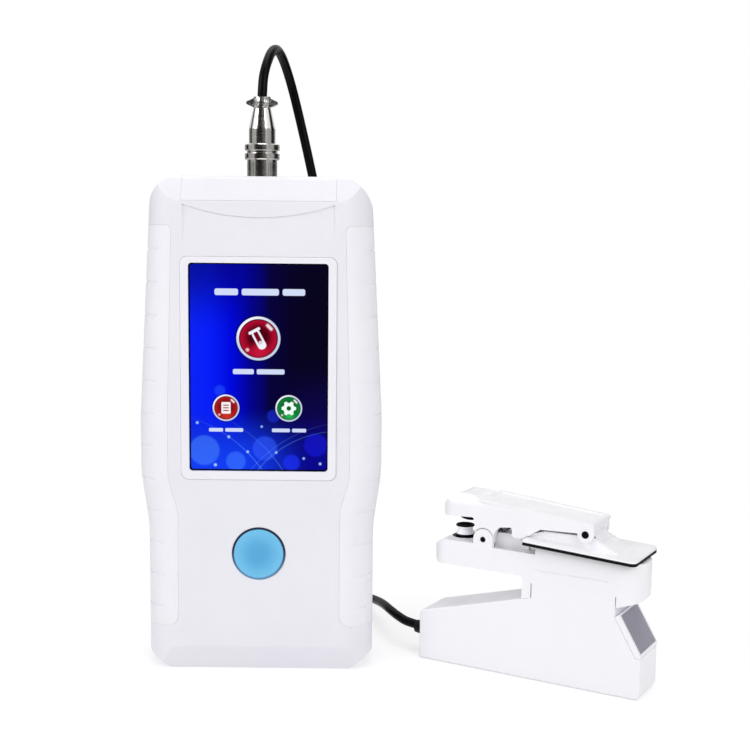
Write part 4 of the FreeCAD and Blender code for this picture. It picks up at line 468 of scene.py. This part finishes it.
# Bright points: centre and radius
SPARKS = [((-12.4, 99.2), 0.55), ((-4.6, 93.0), 0.5), ((7.2, 92.8), 0.45), ((-25.4, 105.0), 0.5),
          ((18.6, 90.4), 0.45), ((-18.0, 87.4), 0.6), ((1.2, 103.6), 0.4), ((25.4, 88.2), 0.5)]
# Badge colours: rim, deep, body and light
TUBE_BADGE = (srgb(60, 4, 20), srgb(48, 0, 8), srgb(176, 14, 48), srgb(205, 26, 60))
SHEET_BADGE = (srgb(60, 8, 10), srgb(110, 10, 16), srgb(176, 26, 30), srgb(210, 60, 40))
COG_BADGE = (srgb(4, 40, 16), srgb(6, 84, 36), srgb(12, 128, 54), srgb(46, 190, 90))
TUBE_MIDDLE = (-0.1, 140.1)
SHEET_MIDDLE = (-13.5, 111.3)
COG_MIDDLE = (12.4, 111.3)
TUBE_LEAN = -28.0
# Test tube sign: place along the tube, half width, half height, colour and share
TUBE_PARTS = [(0.0, 1.75, 4.2, srgb(240, 240, 250), 1.0), (0.9, 0.95, 2.9, srgb(120, 8, 30), 1.0),
              (-1.9, 0.95, 1.3, srgb(240, 240, 250), 0.7), (4.1, 2.6, 0.6, srgb(240, 240, 250), 1.0)]


class Picture:
    def __init__(self, tree):
        self.tree = tree
        place = object_place(tree)
        self.across = calc(tree, "MULTIPLY", axis_of(tree, place, "X"), 1000.0)
        self.up = calc(tree, "MULTIPLY", axis_of(tree, place, "Z"), 1000.0)
        flat = add(tree, "ShaderNodeCombineXYZ", {"X": self.across, "Y": self.up, "Z": 0.0})
        self.flat = flat.outputs["Vector"]
        self.colour = NO_LIGHT

    def distance(self, centre):
        return vector_calc(self.tree, "DISTANCE", self.flat, (centre[0], centre[1], 0.0))

    def offset(self, centre):
        return vector_calc(self.tree, "SUBTRACT", self.flat, (centre[0], centre[1], 0.0))

    def inside(self, value, edge, soft):
        return ramp(self.tree, value, edge - soft / 2, edge + soft / 2, 1.0, 0.0, smooth=True)

    def disc(self, centre, radius, soft):
        return self.inside(self.distance(centre), radius, soft)

    def ring(self, centre, radius, width, soft):
        gap = calc(self.tree, "ABSOLUTE", calc(self.tree, "SUBTRACT", self.distance(centre), radius))
        return self.inside(gap, width / 2, soft)

    def bar(self, centre, half_width, half_height, corner, turn=0.0, soft=0.25):
        moved = self.offset(centre)
        if turn:
            inputs = {"Vector": moved, "Angle": math.radians(turn)}
            turned = add(self.tree, "ShaderNodeVectorRotate", inputs, rotation_type="Z_AXIS")
            moved = turned.outputs["Vector"]
        size = vector_calc(self.tree, "ABSOLUTE", moved)
        over = vector_calc(self.tree, "SUBTRACT", size, (half_width - corner, half_height - corner, 0.0))
        outside = vector_calc(self.tree, "MAXIMUM", over)
        return self.inside(vector_calc(self.tree, "LENGTH", outside), corner, soft)

    def cog(self, centre, radius, teeth):
        moved = self.offset(centre)
        angle = calc(self.tree, "ARCTAN2", axis_of(self.tree, moved, "Y"), axis_of(self.tree, moved, "X"))
        wave = calc(self.tree, "COSINE", calc(self.tree, "MULTIPLY", angle, float(teeth)))
        edge = calc(self.tree, "MULTIPLY", ramp(self.tree, wave, -0.35, 0.35), radius * 0.22)
        reach = calc(self.tree, "SUBTRACT", self.distance(centre), edge)
        return self.inside(reach, radius * 0.78, 0.3)

    def paint(self, colour, mask, share=1.0):
        if share != 1.0:
            mask = calc(self.tree, "MULTIPLY", mask, share)
        self.colour = blend_colour(self.tree, self.colour, colour, mask)


def paint_backdrop(picture):
    """Blue light from the left that falls off into navy, with soft discs and sweeping lines low down."""
    tree = picture.tree
    wash = add(tree, "ShaderNodeValToRGB", {"Fac": ramp(tree, picture.across, -28.6, 28.6)})
    bands = wash.color_ramp
    bands.elements[0].color = BACKDROP_BANDS[0][1]
    bands.elements[1].color = BACKDROP_BANDS[-1][1]
    for place, colour in BACKDROP_BANDS[1:-1]:
        bands.elements.new(place).color = colour
    picture.colour = wash.outputs["Color"]
    upper = ramp(tree, picture.up, 140.0, 171.0, smooth=True)
    left_half = ramp(tree, picture.across, 2.0, -12.0, smooth=True)
    picture.paint(srgb(6, 4, 96), calc(tree, "MULTIPLY", upper, left_half), 0.7)
    below = ramp(tree, picture.up, 132.0, 106.0, smooth=True)
    right_half = ramp(tree, picture.across, 4.0, 24.0, smooth=True)
    picture.paint(srgb(15, 7, 80), calc(tree, "MULTIPLY", below, right_half), 0.75)
    lower = ramp(tree, picture.up, 112.0, 88.0, smooth=True)
    leftward = ramp(tree, picture.across, 22.0, -10.0, smooth=True)
    picture.paint(srgb(11, 9, 142), lower, 0.9)
    picture.paint(srgb(20, 66, 250), calc(tree, "MULTIPLY", lower, leftward), 0.85)
    for centre, radius, colour, share in SOFT_DISCS:
        picture.paint(colour, picture.disc(centre, radius, 1.2), share)
    for centre, radius, share in SWEEPS:
        line = picture.ring(centre, radius, 0.22, 0.3)
        picture.paint(srgb(110, 170, 255), calc(tree, "MULTIPLY", line, lower), share)
    for centre, radius in SPARKS:
        picture.paint(srgb(175, 215, 255), picture.disc(centre, radius, 0.7), 0.9)


def paint_badge(picture, centre, radius, colours):
    """Round glass badge in a bright metal ring."""
    x, z = centre
    rim, deep, body, light = colours
    picture.paint(srgb(6, 8, 60), picture.disc(centre, radius * 1.08, radius * 0.12), 0.6)
    picture.paint(srgb(205, 212, 232), picture.disc(centre, radius, 0.3))
    sheen = picture.disc((x - radius * 0.25, z + radius * 0.35), radius * 0.75, radius * 0.5)
    sheen = calc(picture.tree, "MULTIPLY", sheen, picture.disc(centre, radius, 0.3))
    picture.paint(srgb(250, 252, 255), sheen, 0.9)
    picture.paint(rim, picture.disc(centre, radius * 0.89, 0.3))
    picture.paint(body, picture.disc(centre, radius * 0.84, 0.3))
    picture.paint(deep, picture.disc((x, z + radius * 0.06), radius * 0.58, radius * 0.5), 0.9)
    low_light = (x + radius * 0.05, z - radius * 0.5)
    picture.paint(light, picture.disc(low_light, radius * 0.3, radius * 0.45), 0.8)
    glint = (x + radius * 0.5, z + radius * 0.52)
    glint = picture.bar(glint, radius * 0.17, radius * 0.06, radius * 0.05, 45.0, radius * 0.12)
    picture.paint(srgb(255, 240, 244), glint, 0.95)
    spot = picture.disc((x - radius * 0.5, z - radius * 0.52), radius * 0.07, radius * 0.1)
    picture.paint(srgb(255, 220, 228), spot, 0.8)


def paint_words(picture, middle, widths, height, gap):
    """Plain bars where words would stand."""
    x = middle[0] - (sum(widths) + gap * (len(widths) - 1)) / 2
    for width in widths:
        word = picture.bar((x + width / 2, middle[1]), width / 2, height / 2, height * 0.3)
        picture.paint(srgb(214, 224, 250), word, 0.95)
        x += width + gap


def display_picture():
    material, tree, shader = new_finish("display_picture")
    picture = Picture(tree)
    paint_backdrop(picture)
    paint_words(picture, (0.5, 159.1), (9.6, 15.2, 9.2), 2.7, 1.5)
    paint_badge(picture, TUBE_MIDDLE, 9.0, TUBE_BADGE)
    for along, half_width, half_height, colour, share in TUBE_PARTS:
        middle = (0.15 - 0.469 * along, 139.6 + 0.883 * along)
        corner = 0.9 * min(half_width, half_height)
        picture.paint(colour, picture.bar(middle, half_width, half_height, corner, TUBE_LEAN, 0.3), share)
    paint_words(picture, (0.0, 126.4), (8.6, 11.4), 2.1, 1.2)
    paint_badge(picture, SHEET_MIDDLE, 5.5, SHEET_BADGE)
    picture.paint(srgb(246, 240, 242), picture.bar(SHEET_MIDDLE, 1.9, 2.4, 0.4, 0.0, 0.3))
    for step in (-1.1, 0.0, 1.1):
        line = picture.bar((SHEET_MIDDLE[0], SHEET_MIDDLE[1] + step), 1.2, 0.22, 0.15, 0.0, 0.2)
        picture.paint(srgb(150, 20, 26), line)
    paint_words(picture, (-13.5, 102.1), (5.8, 7.4), 1.5, 0.9)
    paint_badge(picture, COG_MIDDLE, 5.5, COG_BADGE)
    picture.paint(srgb(240, 250, 244), picture.cog(COG_MIDDLE, 3.0, 6))
    picture.paint(srgb(8, 96, 40), picture.disc(COG_MIDDLE, 0.95, 0.3))
    paint_words(picture, (12.5, 102.1), (7.4, 5.8), 1.5, 0.9)
    inside = picture.bar(SCREEN_MIDDLE, 28.05, 42.35, 1.2, 0.0, 0.2)
    picture.colour = blend_colour(tree, srgb(5, 5, 9), picture.colour, inside)
    feed(tree, shader.inputs["Emission Color"], picture.colour)
    shader.inputs["Emission Strength"].default_value = 1.0
    shader.inputs["Base Color"].default_value = srgb(6, 6, 10)
    shader.inputs["Roughness"].default_value = 0.4
    return material


finishes = {
    "case_plastic": moulded_plastic("case_plastic", srgb(241, 240, 246), srgb(238, 237, 244), 0.42),
    "grip_plastic": moulded_plastic("grip_plastic", srgb(246, 245, 250), srgb(243, 242, 248), 0.55,
                                    grain=0.0008, depth=0.00003),
    "bezel_plastic": moulded_plastic("bezel_plastic", srgb(246, 245, 250), srgb(244, 243, 249), 0.28,
                                     grain=0.0004, depth=0.00001),
    "clip_plastic": moulded_plastic("clip_plastic", srgb(251, 250, 253), srgb(249, 248, 252), 0.36),
    "clip_base_plastic": moulded_plastic("clip_base_plastic", srgb(251, 250, 254), srgb(249, 249, 253),
                                         0.38),
    "inlay_sheet": moulded_plastic("inlay_sheet", srgb(160, 158, 171), srgb(152, 150, 163), 0.45,
                                   grain=0.0006, depth=0.00003, worn_edge_and_highlight=srgb(186, 184, 194)),
    "button_blue": dished_button(),
    "trim_navy": trim_ring(),
    "black_plastic": moulded_plastic("black_plastic", srgb(26, 26, 29), srgb(20, 20, 23), 0.42,
                                     dust=0.15, worn_edge_and_highlight=srgb(74, 73, 76)),
    "circuit_board": moulded_plastic("circuit_board", srgb(20, 78, 46), srgb(16, 66, 38), 0.35,
                                     grain=0.0007, dust=0.1, worn_edge_and_highlight=srgb(150, 140, 96)),
    "battery_wrap": moulded_plastic("battery_wrap", srgb(52, 92, 150), srgb(46, 84, 140), 0.3,
                                    grain=0.001, dust=0.1, worn_edge_and_highlight=srgb(120, 150, 190)),
    "plated_nickel": plated_metal("plated_nickel", (0.82, 0.80, 0.77, 1.0), (0.76, 0.74, 0.71, 1.0), 0.15),
    "stamped_nickel": plated_metal("stamped_nickel", (0.80, 0.79, 0.77, 1.0), (0.74, 0.73, 0.71, 1.0), 0.2,
                                   dents=0.0032),
    "contact_brass": plated_metal("contact_brass", (0.80, 0.60, 0.28, 1.0), (0.74, 0.54, 0.24, 1.0), 0.2),
    "screw_steel": plated_metal("screw_steel", (0.56, 0.56, 0.57, 1.0), (0.48, 0.48, 0.50, 1.0), 0.28),
    "spring_steel": plated_metal("spring_steel", (0.42, 0.42, 0.44, 1.0), (0.34, 0.34, 0.36, 1.0), 0.25),
    "pin_black": plated_metal("pin_black", (0.012, 0.012, 0.015, 1.0), (0.008, 0.008, 0.010, 1.0), 0.4,
                              worn_edge_and_highlight=(0.03, 0.03, 0.034, 1.0)),
    "cable_jacket": soft_rubber("cable_jacket", srgb(8, 7, 11), srgb(5, 4, 8), 0.3,
                                pore=0.0006, depth=0.00001, dust=0.0, shine=0.11),
    "gland_rubber": soft_rubber("gland_rubber", srgb(14, 13, 17), srgb(9, 9, 12), 0.5,
                                pore=0.0005, depth=0.00003, dust=0.05, shine=0.2),
    "foam_black": soft_rubber("foam_black", srgb(16, 15, 18), srgb(6, 6, 8), 0.85,
                              pore=0.0004, depth=0.00006, dust=0.03, shine=0.15),
    "pad_rubber": soft_rubber("pad_rubber", srgb(12, 10, 15), srgb(8, 7, 10), 0.6,
                              pore=0.0005, depth=0.00003, dust=0.03, shine=0.15),
    "cover_glass": clear_glass(),
    "light_guide": frosted_guide(),
    "display_picture": display_picture(),
}

finish_of = {
    "front_shell": "case_plastic", "rear_shell": "case_plastic", "top_panel": "case_plastic",
    "left_grip": "grip_plastic", "right_grip": "grip_plastic", "screen_bezel": "bezel_plastic",
    "screen_glass": "cover_glass", "lcd_module": "display_picture", "main_board": "circuit_board",
    "clip_board": "circuit_board", "battery_pack": "battery_wrap", "button_cap": "button_blue",
    "button_ring": "trim_navy", "button_switch": "black_plastic", "socket_shell": "plated_nickel",
    "socket_nut": "plated_nickel", "socket_insert": "black_plastic", "socket_pins": "contact_brass",
    "plug_shell": "plated_nickel", "plug_insert": "black_plastic", "coupling_ring": "plated_nickel",
    "clamp_front": "stamped_nickel", "clamp_rear": "stamped_nickel", "clamp_screws": "stamped_nickel",
    "case_screws": "screw_steel", "board_screws": "screw_steel", "charge_port": "black_plastic",
    "cable_tie": "black_plastic", "cable_gland": "gland_rubber", "housing_near_half": "clip_base_plastic",
    "housing_far_half": "clip_base_plastic", "end_cap": "clip_base_plastic", "end_inlay": "inlay_sheet",
    "foot_plate": "black_plastic", "foot_screws": "screw_steel", "board_holders": "black_plastic",
    "lower_arm": "clip_plastic", "turret_base": "pin_black", "light_pipe": "light_guide",
    "lower_gasket": "foam_black", "upper_gasket": "foam_black", "sensor_head": "black_plastic",
    "upper_arm": "clip_plastic", "arm_cover": "clip_plastic", "jaw_pin": "pin_black",
    "lever_pin": "pin_black", "thumb_lever": "clip_plastic", "lever_pad": "pad_rubber",
    "jaw_spring": "spring_steel",
}


def dress(piece, finish):
    piece.data.materials.clear()
    piece.data.materials.append(finishes[finish])


for node_name, finish in finish_of.items():
    dress(nodes[node_name], finish)
dress(cable, "cable_jacket")

# Clip pieces that the camera sees between the arms, in the clip's own lengths, in millimetres
CLIP_PLACE = (0.0681, -0.0008, 0.0)
CLIP_TURN = -29.8
LEVER_PIN = (74.1, 64.2)
LEVER_TILT = 3.1
HUB_OUTER = 2.38
HUB_INNER = 1.62
HUB_SPAN = (4.75, 17.05)
HUB_STEPS = 48
COVER_SPAN = (5.0, 5.8)
COVER_PROFILE = [(32.6, 49.1), (45.9, 49.1), (45.9, 53.35), (48.2, 53.35), (48.2, 59.2),
                 (34.4, 59.2), (32.6, 57.4)]
APRON_PROFILE = [(1.95, 1.37), (5.2, -3.25), (4.59, -3.68), (1.33, 0.94)]


def object_from(name, mesh):
    """Put a finished bmesh into the scene as an object."""
    data = bpy.data.meshes.new(name)
    mesh.to_mesh(data)
    mesh.free()
    made = bpy.data.objects.new(name, data)
    bpy.context.scene.collection.objects.link(made)
    return made


def finish_clip_piece(name, mesh, body):
    """Turn a mesh from the clip's lengths to its place, and make it a piece that rides on the body."""
    turn = Matrix.Rotation(math.radians(CLIP_TURN), 4, "Z")
    place = Matrix.Translation(CLIP_PLACE) @ turn @ Matrix.Scale(0.001, 4)
    bmesh.ops.transform(mesh, matrix=place, verts=mesh.verts)
    bmesh.ops.recalc_face_normals(mesh, faces=mesh.faces)
    piece = object_from(name, mesh)
    dress(piece, "clip_plastic")
    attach(piece, body)


def push_profile(mesh, profile, span, soften):
    """A plate of the profile, across the clip from one end of the span to the other, edges softened."""
    face = mesh.faces.new([mesh.verts.new((u, span[0], z)) for u, z in profile])
    made = bmesh.ops.extrude_face_region(mesh, geom=[face])["geom"]
    pushed = [part for part in made if isinstance(part, bmesh.types.BMVert)]
    bmesh.ops.translate(mesh, vec=(0.0, span[1] - span[0], 0.0), verts=pushed)
    bmesh.ops.recalc_face_normals(mesh, faces=mesh.faces)
    bmesh.ops.bevel(mesh, geom=mesh.edges[:], offset=soften, affect="EDGES", segments=2, profile=0.5,
                    material=-1)


def make_spring_cover():
    """The web that stands in the lower arm's channel, in front of the spring."""
    mesh = bmesh.new()
    push_profile(mesh, COVER_PROFILE, COVER_SPAN, 0.15)
    finish_clip_piece("spring_cover", mesh, "unit_and_base")


def make_lever_hub():
    """The tube between the lever's gussets round its pin, with an apron down to the plate's web."""
    mesh = bmesh.new()
    tilt = Matrix.Rotation(math.radians(LEVER_TILT), 4, "Y")
    push_profile(mesh, APRON_PROFILE, HUB_SPAN, 0.12)
    bmesh.ops.transform(mesh, matrix=tilt, verts=mesh.verts)
    corners = [(HUB_INNER, HUB_SPAN[0]), (HUB_OUTER, HUB_SPAN[0]),
               (HUB_OUTER, HUB_SPAN[1]), (HUB_INNER, HUB_SPAN[1])]
    ring = [mesh.verts.new((radius, v, 0.0)) for radius, v in corners]
    edges = [mesh.edges.new((ring[index], ring[(index + 1) % 4])) for index in range(4)]
    bmesh.ops.spin(mesh, geom=ring + edges, axis=(0.0, 1.0, 0.0), cent=(0.0, 0.0, 0.0),
                   angle=2.0 * math.pi, steps=HUB_STEPS, use_merge=True)
    bmesh.ops.translate(mesh, vec=(LEVER_PIN[0], 0.0, LEVER_PIN[1]), verts=mesh.verts)
    finish_clip_piece("lever_hub", mesh, "lever")


make_spring_cover()
make_lever_hub()

# Studio: pale floor, three soft lamps, and cards that only shiny surfaces mirror
WORLD_LIGHT = 0.575
FLOOR_REACH = 6.0
FLOOR_Z = -0.0002
FLOOR_LIT = (0.74, 0.74, 0.75, 1.0)
FLOOR_SHADED = (0.46, 0.46, 0.47, 1.0)
FLOOR_GLOW = 0.60
FLOOR_MIDDLE = (0.045, 0.02, 0.0)
FLOOR_FADE = (0.15, 0.45)
LAMP_AIM = (0.04, 0.0, 0.09)
# Lamps: name, place, size and power
LAMPS = [("lamp_left", (-1.4, -0.85, 1.0), 0.9, 8.4), ("lamp_right", (0.8, -1.5, 0.9), 1.1, 10.2),
         ("lamp_top", (0.1, 0.3, 1.6), 1.2, 6.0)]
RIM_X = 0.045
RIM_RADIUS = 0.45
RIM_HEIGHT = 0.30
RIM_STEPS = 48
RIM_GREY = 0.36
STRIP_REACH = 0.30
STRIP_HEIGHT = 1.4
STRIP_GREY = 0.01
# Dark strips: azimuth and width
DARK_STRIPS = [(-6.0, 0.52), (112.0, 0.24), (250.0, 0.14)]


def seen_rays(tree):
    """1 for the rays that show the background: to the camera, off a shiny surface and through glass."""
    path = add(tree, "ShaderNodeLightPath")
    shown = calc(tree, "MAXIMUM", path.outputs["Is Camera Ray"], path.outputs["Is Glossy Ray"])
    return calc(tree, "MAXIMUM", shown, path.outputs["Is Transmission Ray"])


def set_world():
    world = bpy.data.worlds.new("studio")
    world.use_nodes = True
    tree = world.node_tree
    tree.nodes.clear()
    strength = add(tree, "ShaderNodeMix", {"Factor": seen_rays(tree), "A": WORLD_LIGHT, "B": 1.0})
    light = {"Color": FULL_LIGHT, "Strength": strength.outputs["Result"]}
    back = add(tree, "ShaderNodeBackground", light)
    add(tree, "ShaderNodeOutputWorld", {"Surface": back.outputs[0]})
    bpy.context.scene.world = world


def make_floor():
    """A floor that is lit near the object and as bright as the background further away."""
    mesh = bmesh.new()
    bmesh.ops.create_grid(mesh, x_segments=1, y_segments=1, size=FLOOR_REACH)
    bmesh.ops.translate(mesh, vec=(0.0, 0.0, FLOOR_Z), verts=mesh.verts)
    floor = object_from("floor", mesh)
    material, tree, shader = new_finish("floor_white")
    tree.nodes.remove(shader)
    lit = add(tree, "ShaderNodeBsdfDiffuse", {"Color": FLOOR_LIT})
    shaded = add(tree, "ShaderNodeBsdfDiffuse", {"Color": FLOOR_SHADED})
    glow = add(tree, "ShaderNodeEmission", {"Color": FULL_LIGHT, "Strength": FLOOR_GLOW})
    near = add(tree, "ShaderNodeAddShader", {0: shaded.outputs[0], 1: glow.outputs[0]})
    bright = add(tree, "ShaderNodeEmission", {"Color": FULL_LIGHT, "Strength": 1.0})
    away = vector_calc(tree, "DISTANCE", object_place(tree), FLOOR_MIDDLE)
    far_share = ramp(tree, away, FLOOR_FADE[0], FLOOR_FADE[1], smooth=True)
    seen = add(tree, "ShaderNodeMixShader", {0: far_share, 1: near.outputs[0], 2: bright.outputs[0]})
    both = add(tree, "ShaderNodeMixShader", {0: seen_rays(tree), 1: lit.outputs[0], 2: seen.outputs[0]})
    feed(tree, tree.nodes["Material Output"].inputs["Surface"], both.outputs[0])
    floor.data.materials.append(material)


def make_lamp(name, place, size, power):
    data = bpy.data.lights.new(name, "AREA")
    data.shape = "DISK"
    data.size = size
    data.energy = power
    lamp = bpy.data.objects.new(name, data)
    lamp.location = place
    aim = Vector(LAMP_AIM) - Vector(place)
    lamp.rotation_euler = aim.to_track_quat("-Z", "Y").to_euler()
    bpy.context.scene.collection.objects.link(lamp)


def stand_card(name, mesh, grey):
    """Make a card of the mesh that only shiny surfaces mirror."""
    card = object_from(name, mesh)
    material, tree, shader = new_finish(name + "_card")
    shader.inputs["Base Color"].default_value = NO_LIGHT
    shader.inputs["Specular IOR Level"].default_value = 0.0
    shader.inputs["Emission Color"].default_value = FULL_LIGHT
    shader.inputs["Emission Strength"].default_value = grey
    card.data.materials.append(material)
    card.visible_camera = False
    card.visible_diffuse = False
    card.visible_shadow = False
    card.visible_transmission = False


def make_grey_rim():
    """A low grey wall all round, as the edge of a light table."""
    mesh = bmesh.new()
    low = mesh.verts.new((RIM_RADIUS, 0.0, 0.0))
    high = mesh.verts.new((RIM_RADIUS, 0.0, RIM_HEIGHT))
    wall = [low, high, mesh.edges.new((low, high))]
    bmesh.ops.spin(mesh, geom=wall, axis=(0.0, 0.0, 1.0), cent=(0.0, 0.0, 0.0), angle=2.0 * math.pi,
                   steps=RIM_STEPS, use_merge=True)
    bmesh.ops.translate(mesh, vec=(RIM_X, 0.0, 0.0), verts=mesh.verts)
    stand_card("grey_rim", mesh, RIM_GREY)


def make_dark_strip(name, azimuth, width):
    """A black card upright on a circle round the object."""
    mesh = bmesh.new()
    bmesh.ops.create_grid(mesh, x_segments=1, y_segments=1, size=0.5)
    bmesh.ops.scale(mesh, vec=(width, STRIP_HEIGHT, 1.0), verts=mesh.verts)
    facing = Matrix.Rotation(math.radians(azimuth), 4, "Z")
    upright = Matrix.Rotation(math.radians(90.0), 4, "X")
    lift = Matrix.Translation((0.0, 0.0, STRIP_HEIGHT / 2))
    bmesh.ops.transform(mesh, matrix=lift @ facing @ upright, verts=mesh.verts)
    bmesh.ops.translate(mesh, vec=facing @ Vector((0.0, -STRIP_REACH, 0.0)), verts=mesh.verts)
    stand_card(name, mesh, STRIP_GREY)


set_world()
make_floor()
for name, place, size, power in LAMPS:
    make_lamp(name, place, size, power)
make_grey_rim()
for index, (azimuth, width) in enumerate(DARK_STRIPS):
    make_dark_strip("dark_strip_" + str(index), azimuth, width)
bpy.context.scene.view_settings.view_transform = "Standard"
